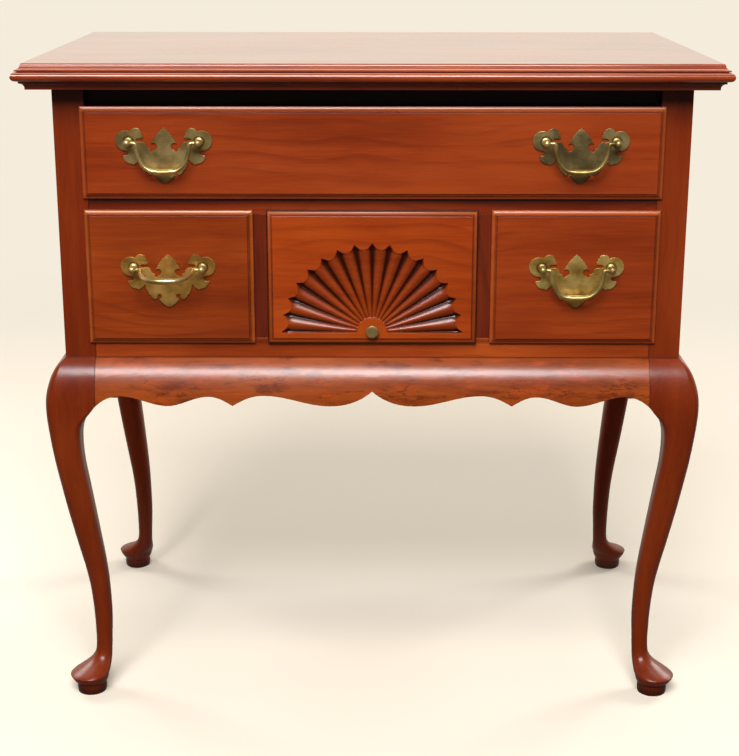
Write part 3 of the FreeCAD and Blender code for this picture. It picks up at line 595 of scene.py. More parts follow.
class Workpiece:
    """One mesh on the bench, shaped with Blender's own editing tools."""

    def __init__(self, name: str) -> None:
        """Clears the bench, so that no other piece is touched."""
        self.name = name
        bpy.ops.object.select_all(action="DESELECT")

    def _edit(self) -> None:
        """Sets the new primitive's place into its mesh and opens it for editing."""
        self.body = bpy.context.active_object
        self.body.name = self.name
        self.body.data.name = self.name
        bpy.ops.object.transform_apply(location=True, rotation=True, scale=True)
        bpy.ops.object.mode_set(mode="EDIT")
        bpy.ops.mesh.select_mode(type="VERT")
        bpy.ops.mesh.select_all(action="SELECT")

    def block(self, low: Vector, high: Vector) -> None:
        """Starts from a block between two corners."""
        bpy.ops.mesh.primitive_cube_add(size=1.0, location=(low + high) / 2, scale=high - low)
        self._edit()

    def disc(self, centre: Vector, radius: float, sides: int, tilt: Triple = ORIGIN) -> None:
        """Starts from a filled disc.

        Args:
            centre: its middle.
            radius: its radius.
            sides: how many edges it has.
            tilt: degrees about each axis, from lying flat.
        """
        bpy.ops.mesh.primitive_circle_add(
            vertices=sides, radius=radius, fill_type="NGON", location=centre,
            rotation=[math.radians(angle) for angle in tilt])
        self._edit()

    def ring(self, centre: Vector, radius: float, sides: int, tilt: Triple = ORIGIN) -> None:
        """Starts from the rim of a disc.

        Args:
            centre: its middle.
            radius: its radius.
            sides: how many edges it has.
            tilt: degrees about each axis, from lying flat.
        """
        self.disc(centre, radius, sides, tilt)
        bpy.ops.mesh.delete(type="ONLY_FACE")
        bpy.ops.mesh.select_all(action="SELECT")

    def line(self, points: Sequence[Vector]) -> None:
        """Starts from a line, made by drawing out one vertex after another.

        Args:
            points: where it goes.
        """
        bpy.ops.mesh.primitive_plane_add(size=MM, location=points[0])
        self._edit()
        bpy.ops.mesh.merge(type="CENTER")
        for here, there in zip(points, points[1:]):
            bpy.ops.mesh.extrude_vertices_move(TRANSFORM_OT_translate={"value": there - here})
        bpy.ops.mesh.select_all(action="SELECT")

    def pick_before(self, depth: float) -> None:
        """Selects the vertices that lie in front of a depth.

        Args:
            depth: the depth along Y.
        """
        bpy.ops.mesh.select_mode(type="VERT")
        mesh = bmesh.from_edit_mesh(self.body.data)
        for vertex in mesh.verts:
            vertex.select_set(vertex.co.y < depth)
        mesh.select_flush_mode()
        bmesh.update_edit_mesh(self.body.data)

    def pick_front(self) -> None:
        """Selects the faces that look to the front."""
        bpy.ops.mesh.select_mode(type="FACE")
        mesh = bmesh.from_edit_mesh(self.body.data)
        for face in mesh.faces:
            face.select_set(False)
        for face in mesh.faces:
            if face.normal.y < FRONT_FACING:
                face.select_set(True)
        bmesh.update_edit_mesh(self.body.data)

    def draw_out(self, move: Vector) -> None:
        """Extrudes what is selected."""
        bpy.ops.mesh.extrude_region_move(TRANSFORM_OT_translate={"value": move})

    def stretch(self, factors: Triple, centre: Vector) -> None:
        """Scales what is selected about a point."""
        bpy.ops.transform.resize(value=factors, center_override=centre)

    def turn(self, degrees: float, centre: Vector) -> None:
        """Turns what is selected, right-handed about Y through a point."""
        bpy.ops.transform.rotate(
            value=-math.radians(degrees), orient_axis="Y", center_override=centre)

    def inset(self, steps: Iterable[Point]) -> None:
        """Insets the selected face step by step, each step so many mm inward and forward."""
        for inward, forward in steps:
            bpy.ops.mesh.inset(thickness=inward * MM, depth=forward * MM, use_even_offset=True)

    def spin(self, steps: int, degrees: float, centre: Vector, copies: bool = False) -> None:
        """Turns the selection about Y, into a surface or into copies.

        Args:
            steps: how many steps the turn takes.
            degrees: how far it goes.
            centre: a point of the axis.
            copies: leave a copy at each step and no surface between.
        """
        bpy.ops.mesh.spin(
            steps=steps, angle=math.radians(degrees), axis=(0.0, 1.0, 0.0), center=centre,
            dupli=copies)

    def reopen(self, piece: Piece) -> None:
        """Puts a piece back on the bench, with all of it selected.

        Args:
            piece: what is worked on again.
        """
        self.body = piece
        take(piece)
        bpy.ops.object.mode_set(mode="EDIT")
        bpy.ops.mesh.select_all(action="SELECT")

    def close(self) -> None:
        """Merges doubles and turns every face outwards."""
        bpy.ops.mesh.select_all(action="SELECT")
        bpy.ops.mesh.remove_doubles(threshold=EPSILON)
        bpy.ops.mesh.normals_make_consistent(inside=False)

    def off(self) -> Piece:
        """Closes the mesh and takes the piece off the bench.

        Returns:
            The piece, at the origin, with its place in its mesh.
        """
        self.close()
        bpy.ops.object.mode_set(mode="OBJECT")
        return self.body


def use_modifier(piece: Piece, kind: str, **settings: object) -> None:
    """Adds a modifier to a piece and applies it.

    Args:
        piece: what it is applied to.
        kind: the modifier's type.
        settings: its properties by name.
    """
    made = piece.modifiers.new(kind.title(), kind)
    for name, value in settings.items():
        setattr(made, name, value)
    take(piece)
    bpy.ops.object.modifier_apply(modifier=made.name)


def smooth(piece: Piece, degrees: float = 32.0) -> None:
    """Shades a piece smooth, with flat faces kept flat.

    Args:
        piece: what is shaded.
        degrees: the angle from which an edge stays sharp.
    """
    take(piece)
    bpy.ops.object.shade_smooth_by_angle(angle=math.radians(degrees))
    use_modifier(piece, "WEIGHTED_NORMAL", keep_sharp=True, weight=80)


def carve(piece: Piece, tool: Piece, how: str = "DIFFERENCE") -> None:
    """Cuts a tool's shape out of a piece, or adds it, and clears the tool away."""
    use_modifier(piece, "BOOLEAN", object=tool, operation=how, solver="EXACT")
    bpy.data.objects.remove(tool)


def arc(start: Point, via: Point, end: Point, steps: int) -> list[Point]:
    """Points along the arc through three points.

    Args:
        start: where it starts, which isn't among the points returned.
        via: a point on the way.
        end: where it ends.
        steps: how many points.

    Returns:
        The points, the last of them the end.
    """
    (ax, ay), (bx, by), (cx, cy) = start, via, end
    turn = 2 * (ax * (by - cy) + bx * (cy - ay) + cx * (ay - by))
    a2, b2, c2 = ax * ax + ay * ay, bx * bx + by * by, cx * cx + cy * cy
    ox = (a2 * (by - cy) + b2 * (cy - ay) + c2 * (ay - by)) / turn
    oy = (a2 * (cx - bx) + b2 * (ax - cx) + c2 * (bx - ax)) / turn
    radius = math.dist((ox, oy), start)
    first, middle, last = (math.atan2(y - oy, x - ox) for x, y in (start, via, end))
    full = 2 * math.pi
    sweep = (last - first) % full
    if (middle - first) % full > sweep:
        sweep -= full
    turns = [first + sweep * k / steps for k in range(1, steps + 1)]
    return [(ox + radius * math.cos(turn), oy + radius * math.sin(turn)) for turn in turns]


def middle_of(node: str) -> Point:
    """The middle of a node's box, across and up, in metres."""
    low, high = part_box(node)
    return (low.x + high.x) / 2, (low.z + high.z) / 2


@dataclass(frozen=True)
class GougeCut:
    """One station of the carver's gouge: radius from the hub, half width and depth, in mm."""

    radius: float
    half_width: float
    depth: float


@dataclass
class FanFront:
    """The middle drawer's front with its moulded lip and the half-round fan carved in it.

    Lengths are in millimetres, in the front's own plane, and depths are measured from its face.
    """

    node: str = "middle_drawer_front"
    rise: float = 13.5
    rays: int = 16
    lip_back: float = 7.7
    lap: float = 0.4
    edge_face: float = 5.0
    lip_steps: tuple[Point, ...] = (
        (0.30, 0.85), (0.45, 0.80), (0.60, 0.65), (0.75, 0.60), (0.85, 0.45), (0.90, 0.35),
        (0.75, 0.30), (1.50, 0.0), (0.10, 0.75), (0.25, 0.25),
    )
    ray_cuts: tuple[GougeCut, ...] = (
        GougeCut(17.0, 1.55, 1.7), GougeCut(30.0, 2.85, 2.5), GougeCut(52.0, 4.95, 3.3),
        GougeCut(74.0, 7.05, 3.9), GougeCut(88.0, 8.40, 4.4), GougeCut(91.5, 8.55, 4.2),
        GougeCut(93.3, 7.80, 3.0), GougeCut(94.6, 5.80, 1.3), GougeCut(95.4, 4.20, 0.2),
    )
    ray_section: tuple[Point, ...] = (
        (1.0, 0.0), (0.86, 0.045), (0.68, 0.16), (0.48, 0.34), (0.28, 0.58), (0.12, 0.81),
    )
    tip_cuts: tuple[GougeCut, ...] = (
        GougeCut(78.0, 1.80, 2.5), GougeCut(85.0, 2.70, 3.8), GougeCut(90.5, 4.30, 4.5),
        GougeCut(93.5, 5.60, 4.5), GougeCut(95.5, 4.50, 4.0), GougeCut(98.0, 2.50, 3.0),
        GougeCut(100.0, 0.90, 1.4), GougeCut(101.0, 0.20, 0.2),
    )
    tip_section: tuple[Point, ...] = ((1.0, 0.0), (0.72, 0.36), (0.45, 0.66), (0.20, 0.88))
    dish: tuple[Point, ...] = ((17.4, -0.8), (17.4, 0.7), (92.9, 0.7), (94.2, 0.1), (94.6, -0.8))
    dish_depth: float = 0.7
    overcut: float = 0.8
    lower_wall: float = 0.7
    hub_radius: float = 17.7
    hub_groove: float = 1.5

    def build(self, finish: Cherry) -> Piece:
        """Models the front and dresses it.

        Args:
            finish: the wood's finish.

        Returns:
            The finished front.
        """
        self.low, self.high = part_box(self.node)
        self.hub = Vector((0.0, self.low.y, self.low.z + self.rise * MM))
        front = self._slab()
        carve(front, self._dish())
        carve(front, self._gouges("ray_gouges", self.ray_cuts, self.ray_section))
        carve(front, self._gouges("tip_gouges", self.tip_cuts, self.tip_section))
        carve(front, self._hub_channel())
        carve(front, self._rear(), "UNION")
        smooth(front)
        front.data.materials.clear()
        front.data.materials.append(finish.material())
        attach(front, "middle_drawer")
        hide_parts(self.node)
        return front

    def _slab(self) -> Piece:
        """The lipped board, its thumbnail edge built up by insets.

        Returns:
            The board, as far back as its lip.
        """
        work = Workpiece("carved_drawer_front")
        back = self.low.y + self.lip_back * MM
        edge = self.low.y + self.edge_face * MM
        work.block(Vector((self.low.x, edge, self.low.z)), Vector((self.high.x, back, self.high.z)))
        work.pick_front()
        work.inset(self.lip_steps)
        return work.off()

    def _dish(self) -> Piece:
        """The shallow half-round dish that leaves the hub proud of the rays.

        Returns:
            The closed tool.
        """
        work = Workpiece("fan_dish")
        work.line([self.hub + mm(radius, depth, 0) for radius, depth in self.dish])
        bpy.ops.mesh.edge_face_add()
        work.spin(64, 180.0, self.hub)
        return work.off()

    def _gouges(self, name: str, cuts: Sequence[GougeCut], section: Sequence[Point]) -> Piece:
        """One groove drawn out from the hub towards its tip, then copied round the hub.

        Args:
            name: what the tool is called.
            cuts: the gouge's stations.
            section: half of its section, as shares of the half width and depth.

        Returns:
            The closed tool, ready to carve with.
        """
        first = cuts[0]
        floor = self.low.y + self.dish_depth * MM
        start = self.hub + mm(first.radius, self.dish_depth, 0)
        outer = [(1.0, -(self.overcut + self.dish_depth) / first.depth)] + list(section)
        half = [(across * first.half_width, depth * first.depth) for across, depth in outer]
        whole = half + [(0.0, first.depth)] + [(-across, depth) for across, depth in reversed(half)]
        work = Workpiece(name)
        work.line([start + mm(0, depth, across) for across, depth in whole])
        bpy.ops.mesh.edge_face_add()
        for here, there in zip(cuts, cuts[1:]):
            work.draw_out(mm(there.radius - here.radius, 0, 0))
            centre = Vector((self.hub.x + there.radius * MM, floor, self.hub.z))
            work.stretch(
                (1.0, there.depth / here.depth, there.half_width / here.half_width), centre)
        work.pick_before(floor - EPSILON)
        work.stretch((1.0, 0.0, 1.0), Vector((0.0, self.low.y - self.overcut * MM, 0.0)))
        work.close()
        work.spin(self.rays, 180.0, self.hub, copies=True)
        bpy.ops.mesh.select_all(action="SELECT")
        bpy.ops.mesh.bisect(
            plane_co=self.hub - mm(0, 0, self.lower_wall), plane_no=(0.0, 0.0, 1.0),
            clear_inner=True, use_fill=True)
        return work.off()

    def _hub_channel(self) -> Piece:
        """The round channel at the foot of the hub.

        Returns:
            The closed tool.
        """
        work = Workpiece("hub_channel")
        work.ring(self.hub + mm(self.hub_radius, 0, 0), self.hub_groove * MM, 10)
        bpy.ops.mesh.edge_face_add()
        work.spin(24, 180.0, self.hub)
        return work.off()

    def _rear(self) -> Piece:
        """The board behind its lip, with the sockets that hold the sides' dovetails.

        Returns:
            The closed part, cut from a copy of the node.
        """
        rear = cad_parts[self.node].copy()
        rear.data = rear.data.copy()
        rear.parent = None
        rear.name = "front_rear"
        bpy.context.scene.collection.objects.link(rear)
        work = Workpiece(rear.name)
        work.reopen(rear)
        work.close()
        bpy.ops.mesh.bisect(
            plane_co=(0.0, self.low.y + (self.lip_back - self.lap) * MM, 0.0),
            plane_no=(0.0, 1.0, 0.0), clear_inner=True, use_fill=True)
        return work.off()


@dataclass(frozen=True)
class PullSite:
    """Where a pull is fixed: its name, the drawer it rides on and how far its bail is raised."""

    name: str
    drawer: str
    raised: float = 0.0


@dataclass(frozen=True)
class Stretch:
    """One stretch of a sawn outline: straight to its end, or an arc through a point on the way."""

    end: Point
    via: Point | None = None
    steps: int = 1
    toothed: bool = False


@dataclass
class BackPlate:
    """The pierced outline backplate of a pull, in millimetres about the middle of its two posts."""

    thickness: float = 1.6
    chamfer: float = 0.42
    chamfer_rise: float = 0.6
    tooth: float = 0.7
    top: Point = (0.0, 15.3)
    outline: tuple[Stretch, ...] = (
        Stretch((14.0, -2.9), (8.2, 7.2), 11, toothed=True),
        Stretch((10.6, -9.2), (7.5, -6.0), 8),
        Stretch((13.2, -11.2)), Stretch((15.2, -9.8)), Stretch((15.0, -7.4)),
        Stretch((17.1, -6.9)), Stretch((18.8, -5.1)), Stretch((18.9, -3.4)),
        Stretch((24.6, -0.3), (20.9, -0.9), 4), Stretch((28.0, -0.4)),
        Stretch((28.0, 3.1), (29.8, 1.4), 6), Stretch((22.3, 3.5)),
        Stretch((22.2, 6.2)), Stretch((23.6, 7.4)), Stretch((23.3, 9.6)),
        Stretch((25.1, 10.8)), Stretch((25.4, 12.9)),
        Stretch((36.4, 10.6), (30.5, 14.7), 6),
        Stretch((43.6, -9.8), (52.4, 1.0), 20), Stretch((41.0, -10.2)),
        Stretch((41.0, -14.8), (38.4, -12.5), 6), Stretch((44.9, -15.4)),
        Stretch((38.0, -23.9), (42.9, -20.6), 5),
        Stretch((34.9, -24.2)), Stretch((33.2, -25.6)), Stretch((31.4, -24.1)),
        Stretch((26.6, -19.4), (28.6, -22.2), 3),
        Stretch((18.4, -34.4), (24.2, -27.2), 9, toothed=True),
        Stretch((13.6, -35.5), (16.2, -36.3), 3), Stretch((12.5, -33.6)),
        Stretch((9.5, -34.8), (8.9, -30.5), 8), Stretch((11.2, -37.1)),
        Stretch((2.6, -44.3), (7.2, -41.1), 7, toothed=True), Stretch((0.0, -45.0)),
    )

    def half_outline(self) -> list[Point]:
        """Half of the outline from its top point down, with the filed teeth of its leaves.

        Returns:
            The points in millimetres.
        """
        points = [self.top]
        for stretch in self.outline:
            start, run = points[-1], [stretch.end]
            if stretch.via is not None:
                run = arc(start, stretch.via, stretch.end, stretch.steps)
            if stretch.toothed:
                along, down = stretch.end[0] - start[0], stretch.end[1] - start[1]
                length = math.hypot(along, down)
                side = -self.tooth if down < 0 else self.tooth
                inward = (-abs(down) / length * self.tooth, along / length * side)
                for k in range(0, len(run) - 1, 2):
                    run[k] = (run[k][0] + inward[0], run[k][1] + inward[1])
            points.extend(run)
        return points

    def build(self, site: PullSite, finish: Metal) -> Piece:
        """Cuts the plate from sheet and files its edge.

        Args:
            site: the pull it belongs to.
            finish: the brass.

        Returns:
            The finished plate.
        """
        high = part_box(f"{site.name}_plate")[1]
        half = self.half_outline()
        top = max(y for _, y in half)
        middle = Vector((middle_of(f"{site.name}_plate")[0], high.y, high.z - top * MM))
        whole = half + [(-x, y) for x, y in reversed(half[1:-1])]
        work = Workpiece(f"{site.name}_backplate")
        work.line([middle + mm(x, 0, y) for x, y in whole])
        bpy.ops.mesh.edge_face_add()
        rise = self.chamfer_rise
        work.draw_out(mm(0, -(self.thickness - rise), 0))
        work.close()
        work.pick_front()
        work.inset([(self.chamfer * 0.35, rise * 0.6), (self.chamfer * 0.65, rise * 0.4)])
        plate = work.off()
        smooth(plate, 40.0)
        plate.data.materials.append(finish.material())
        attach(plate, site.drawer)
        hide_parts(f"{site.name}_plate")
        return plate


@dataclass
class Posts:
    """The two round-headed posts of a pull with their collars, bolts and nuts, in millimetres."""

    spacing: float = 76.2
    standoff: float = 14.0
    profile: tuple[Point, ...] = (
        (4.75, 0.0), (4.85, 0.45), (4.70, 1.05), (4.25, 1.45), (3.45, 1.70), (2.85, 2.10),
        (2.60, 2.90), (2.50, 6.50), (2.55, 7.80), (2.95, 8.70),
    )
    ball_radius: float = 4.2
    bolt_radius: float = 2.0
    nut_radius: float = 4.4
    nut_thickness: float = 3.0
    bolt_taper: float = 0.8

    def build(self, site: PullSite, finish: Metal) -> Piece:
        """Turns both posts and joins them.

        Args:
            site: the pull they belong to.
            finish: the brass.

        Returns:
            The finished posts.
        """
        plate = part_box(f"{site.name}_plate")[0].y
        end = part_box(f"{site.name}_posts")[1].y
        middle, height = middle_of(f"{site.name}_posts")
        made = []
        for side, label in ((-1, "left"), (1, "right")):
            at = Vector((middle + side * self.spacing / 2 * MM, plate, height))
            made += [self._post(f"{site.name}_post_{label}", at),
                     self._bolt(f"{site.name}_bolt_{label}", site.drawer, at, end)]
        take(*made)
        bpy.ops.object.join()
        posts = made[0]
        posts.name = f"{site.name}_turned_posts"
        smooth(posts, 38.0)
        posts.data.materials.append(finish.material())
        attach(posts, site.drawer)
        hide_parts(f"{site.name}_posts")
        return posts

    def _post(self, name: str, at: Vector) -> Piece:
        """One post: its profile is drawn from the plate to the top of the ball and spun.

        Args:
            name: what it is called.
            at: where its axis meets the plate.

        Returns:
            The post.
        """
        pivot = self.standoff - BackPlate.thickness
        turns = [math.radians(angle) for angle in range(-52, 84, 15)]
        ball = [(self.ball_radius * math.cos(turn), pivot + self.ball_radius * math.sin(turn))
                for turn in turns]
        points = [(0.0, 0.0), *self.profile, *ball, (0.0, pivot + self.ball_radius)]
        work = Workpiece(name)
        work.line([at + mm(radius, -out, 0) for radius, out in points])
        work.spin(40, 360.0, at)
        return work.off()

    def _bolt(self, name: str, drawer: str, at: Vector, end: float) -> Piece:
        """The bolt behind a post, with its nut against the back of the drawer's front.

        Args:
            name: what it is called.
            drawer: the drawer whose front it goes through.
            at: where the post meets the plate.
            end: where along Y the bolt ends.

        Returns:
            The bolt and its nut.
        """
        work = Workpiece(name)
        work.disc(at, self.bolt_radius * MM, 16, (90.0, 0.0, 0.0))
        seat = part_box(f"{drawer}_front")[1].y
        work.draw_out(Vector((0.0, seat - at.y, 0.0)))
        wider = self.nut_radius / self.bolt_radius
        work.stretch((wider, 1.0, wider), Vector((at.x, seat, at.z)))
        work.draw_out(mm(0, self.nut_thickness, 0))
        bpy.ops.mesh.inset(thickness=(self.nut_radius - self.bolt_radius) * MM, depth=0.0)
        work.draw_out(Vector((0.0, end - seat - self.nut_thickness * MM, 0.0)))
        work.stretch((self.bolt_taper, 1.0, self.bolt_taper), Vector((at.x, end, at.z)))
        return work.off()


@dataclass
class Bail:
    """The swinging handle: a wire with a swelling in the middle of its bar, in millimetres.

    Its stations run from the middle of the bar to the right-hand pin: across, down and radius.
    """

    stations: tuple[Triple, ...] = (
        (0.0, 31.45, 3.50), (3.0, 31.40, 3.47), (6.0, 31.22, 3.40), (9.0, 30.86, 3.14),
        (11.6, 30.45, 2.88), (13.8, 29.90, 2.70), (16.2, 28.80, 2.60), (18.6, 27.15, 2.52),
        (20.9, 24.95, 2.46), (22.9, 22.35, 2.42), (24.7, 19.30, 2.40), (26.2, 15.85, 2.38),
        (27.4, 12.05, 2.36), (28.2, 8.00, 2.36), (28.6, 3.90, 2.38), (28.7, 1.90, 2.42),
        (29.6, 0.35, 2.30), (30.9, 0.0, 2.10), (33.2, 0.0, 1.85), (37.0, 0.0, 1.4),
    )
    sides: int = 20

    def build(self, site: PullSite, finish: Metal) -> Piece:
        """Draws out half of the wire, mirrors it and swings it to its place.

        Args:
            site: the pull it belongs to.
            finish: the brass.

        Returns:
            The finished bail.
        """
        middle, height = middle_of(f"{site.name}_posts")
        pivot = Vector(
            (middle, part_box(f"{site.name}_plate")[1].y - Posts.standoff * MM, height))
        across, down, radius = self.stations[0]
        work = Workpiece(f"{site.name}_swinging_bail")
        work.ring(pivot + mm(across, 0, -down), radius * MM, self.sides, (0.0, 90.0, 0.0))
        heading = 0.0
        for k in range(1, len(self.stations)):
            heading = self._step(work, pivot, k, heading)
        bpy.ops.mesh.edge_face_add()
        bail = work.off()
        centre = bpy.data.objects.new("bail_centre", None)
        centre.location = pivot
        bpy.context.scene.collection.objects.link(centre)
        bpy.context.view_layer.update()
        use_modifier(bail, "MIRROR", use_axis=(True, False, False), mirror_object=centre)
        bpy.data.objects.remove(centre)
        work.reopen(bail)
        bpy.ops.transform.rotate(
            value=math.radians(site.raised), orient_axis="X", center_override=pivot)
        work.off()
        smooth(bail, 60.0)
        bail.data.materials.append(finish.material())
        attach(bail, f"{site.name}_handle")
        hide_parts(f"{site.name}_bail")
        return bail

    def _step(self, work: Workpiece, pivot: Vector, k: int, heading: float) -> float:
        """Draws the ring out to the next station and turns it square to the wire there.

        Args:
            work: the wire.
            pivot: middle of the two pins.
            k: the station to reach.
            heading: the ring's heading in degrees before the step.

        Returns:
            The ring's heading after it.
        """
        last = len(self.stations) - 1
        here, there = self.stations[k - 1], self.stations[k]
        beyond = self.stations[min(k + 1, last)]
        work.draw_out(mm(there[0] - here[0], 0, here[1] - there[1]))
        centre = pivot + mm(there[0], 0, -there[1])
        ratio = there[2] / here[2]
        work.stretch((ratio, ratio, ratio), centre)
        wanted = 0.0
        if k < last:
            wanted = math.degrees(math.atan2(here[1] - beyond[1], beyond[0] - here[0]))
        work.turn(heading - wanted, centre)
        return wanted


@dataclass
class FanKnob:
    """The flat round knob on the fan's hub, in millimetres forward of the drawer's face."""

    node: str = "fan_knob"
    height: float = 6.0
    profile: tuple[Point, ...] = (
        (0.0, -14.0), (1.8, -14.0), (1.8, 0.0), (5.0, 0.0), (5.0, 0.4), (4.2, 0.8), (3.7, 1.4),
        (3.6, 2.4), (4.3, 2.9), (6.3, 3.2), (7.0, 3.5), (7.3, 4.1), (7.25, 4.8), (6.8, 5.4),
        (5.9, 5.8), (4.2, 5.95), (0.0, 6.0),
    )

    def build(self, finish: Metal) -> Piece:
        """Turns the knob.

        Args:
            finish: the brass.

        Returns:
            The finished knob.
        """
        middle, height = middle_of(self.node)
        at = Vector((middle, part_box(self.node)[0].y + self.height * MM, height))
        work = Workpiece("turned_fan_knob")
        work.line([at + mm(radius, -out, 0) for radius, out in self.profile])
        work.spin(48, 360.0, at)
        knob = work.off()
        smooth(knob, 35.0)
        knob.data.materials.append(finish.material())
        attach(knob, "middle_drawer")
        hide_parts(self.node)
        return knob


@dataclass
class Pull:
    """One whole pull: backplate, posts and bail."""

    site: PullSite

    def build(self, plate: Metal, rod: Metal) -> None:
        """Builds the three pieces in the order in which they are fitted.

        Args:
            plate: the brass of the backplate.
            rod: the brass of the posts and the bail.
        """
        name = self.site.name
        (middle, height), half = middle_of(f"{name}_posts"), Posts.spacing / 2 * MM
        collars = ((middle - half, height), (middle + half, height))
        BackPlate().build(self.site, replace(plate, name=f"{name}_plate_brass", collars=collars))
        Posts().build(self.site, replace(rod, name=f"{name}_post_brass", polish=0.36))
        Bail().build(self.site, replace(rod, name=f"{name}_bail_brass"))


def drawer_field(node: str, quirk: float = 0.0056) -> tuple[float, float, float, float]:
    """The flat field inside the moulded lip of a drawer's front.

    Args:
        node: the front.
        quirk: how far in the lip's small step lies, in metres.

    Returns:
        The field's middle across and up, and half its width and height, in metres.
    """
    low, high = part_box(node)
    return (*middle_of(node), (high.x - low.x) / 2 - quirk, (high.z - low.z) / 2 - quirk)


@dataclass
class CaseWork:
    """The kept boards of the case and of the drawers, each with its own cut of wood.

    Two lines in metres say where dark lines are laid: dark joints beside the posts, and at the
    ledge where the case ends and the knees begin, a dark joint with the ledge's painted shadow.
    """

    post_line: float = 0.311
    case_line: float = 0.418

    def dress(self, node: str, name: str, finish: Cherry | Poplar | Metal,
              **changes: object) -> None:
        """Gives a kept board its finish.

        Args:
            node: the board.
            name: what its material is called.
            finish: the wood or metal that it is of.
            changes: what differs from that on this board.
        """
        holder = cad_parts[node]
        holder.material_slots[0].material = replace(finish, name=name, **changes).material()

    def dress_all(self) -> None:
        """Finishes every kept board."""
        case = Cherry("case_cherry", GrainAxis.ALONG_X)
        upright = replace(case, grain=GrainAxis.ALONG_Z)
        self.joint = ("X", self.post_line, 0.0012, 0.5)
        # the ledge's line: a dark joint together with the painted shadow of the ledge
        self.knee = ("Z", self.case_line, 0.0012, 0.5)
        self._top(case)
        self._rails(case)
        self._uprights(upright)
        self._aprons(replace(
            case, tone=srgb(142, 62, 13), figure=0.12, curl=0.95, gum=0.9, sheen=0.42, gloss=0.3,
            coat=0.5, coat_haze=0.23))
        tones = {"top": srgb(136, 49, 10), "left": srgb(141, 55, 9), "right": srgb(141, 52, 10)}
        for k, (name, tone) in enumerate(tones.items()):
            front = f"{name}_drawer_front"
            self.dress(front, f"{name}_drawer_cherry", case, tone=tone,
                       shift=(0.07, 0.1 * k, 0.9 * k), field=drawer_field(front))
        self._inside()

    def _top(self, case: Cherry) -> None:
        """Finishes the top board and the mouldings under it.

        Args:
            case: the wood of the case.
        """
        self.dress("top_board", "top_cherry", case, tone=srgb(146, 57, 14), shift=(0.31, 0.02, 0.4),
                   sheen=0.5, gloss=0.24, coat=1.0, coat_haze=0.15, arris=0.0004)
        for k, side in enumerate(("front", "left", "right")):
            self.dress(f"{side}_cove_moulding", f"{side}_cove_cherry", case,
                       grain=GrainAxis.ALONG_Y if k else GrainAxis.ALONG_X,
                       tone=srgb(104, 34, 12), shift=(0.1 * k, 0.2, 0.7))

    def _rails(self, case: Cherry) -> None:
        """Finishes the three front rails.

        Args:
            case: the wood of the case.
        """
        # near-black tone: painted shade of the recess under the top
        self.dress("top_rail", "top_rail_painted_shade", case, tone=srgb(34, 10, 4),
                   shift=(0.0, 0.05, 0.0), sheen=0.05)
        # darker tone and a dark band just under the top drawer's lip: painted shadow of the lip
        self.dress("middle_rail", "middle_rail_cherry", case, tone=srgb(122, 40, 7),
                   shift=(0.13, 0.05, 1.3), seams=(self.joint, ("Z", 0.601, 0.014, 0.95)))
        # the band at Z 0.4365 is the painted shadow of the lower drawers' lips
        self.dress("bottom_rail", "bottom_rail_cherry", case, tone=srgb(156, 62, 15),
                   shift=(0.26, 0.05, 2.6),
                   seams=(self.joint, self.knee, ("Z", 0.4365, 0.004, 0.5)))

    def _uprights(self, upright: Cherry) -> None:
        """Finishes the stiles, side panels and legs.

        Args:
            upright: the wood of the case, standing upright.
        """
        # bands on the legs: darker at the pads near the floor, and the painted shadow of the top at
        # the head of the posts
        seams = (self.joint, self.knee, ("Z", 0.0, 0.018, 0.8), ("Z", 0.729, 0.06, 0.8))
        for k, side in enumerate(("left", "right")):
            # the stiles' darker tone is painted shade of their recess between the drawers
            self.dress(f"{side}_divider_stile", f"{side}_stile_cherry", upright,
                       tone=srgb(102, 32, 7), shift=(0.2 * k, 0.4, 0.1))
            self.dress(f"{side}_side_panel", f"{side}_panel_cherry", upright,
                       shift=(0.3 * k, 0.1, 0.2), figure=0.6, seams=(self.knee,))
            for j, end in enumerate(("front", "rear")):
                leg = f"{end}_{side}_leg"
                self.dress(leg, f"{leg}_cherry", upright, tone=srgb(118, 40, 7),
                           shift=(0.2 * k, 0.15 * j, 0.3), figure=0.15, contrast=0.8, sheen=0.35,
                           seams=seams, coat=0.22 * (1 - j), coat_haze=0.3)

    def _aprons(self, apron: Cherry) -> None:
        """Finishes the three aprons.

        Args:
            apron: their wild wood.
        """
        self.dress("front_apron", "front_apron_cherry", apron, shift=(0.05, 0.02, 0.1),
                   seams=(self.joint, self.knee))
        for k, side in enumerate(("left", "right")):
            self.dress(f"{side}_side_apron", f"{side}_apron_cherry", apron,
                       grain=GrainAxis.ALONG_Y, shift=(0.1, 0.3 * k, 0.5), seams=(self.knee,))

    def _inside(self) -> None:
        """Finishes the poplar inside, and the screws."""
        across = Poplar("poplar", GrainAxis.ALONG_X)
        deep = Poplar("poplar", GrainAxis.ALONG_Y)
        for name in ("back_panel", "back_rails", "glue_blocks"):
            self.dress(name, f"{name}_poplar", across)
        for name in ("top_kickers", "upper_runners", "lower_runners", "drawer_guides"):
            self.dress(name, f"{name}_poplar", deep)
        for name in ("top", "left", "middle", "right"):
            for board, wood in (("left_side", deep), ("right_side", deep), ("back", across),
                                ("bottom", across)):
                self.dress(f"{name}_drawer_{board}", f"{name}_{board}_poplar", wood)
        steel = Metal("steel", srgb(190, 190, 190), srgb(150, 150, 150), srgb(110, 110, 108))
        self.dress("top_screws", "screw_steel", steel)


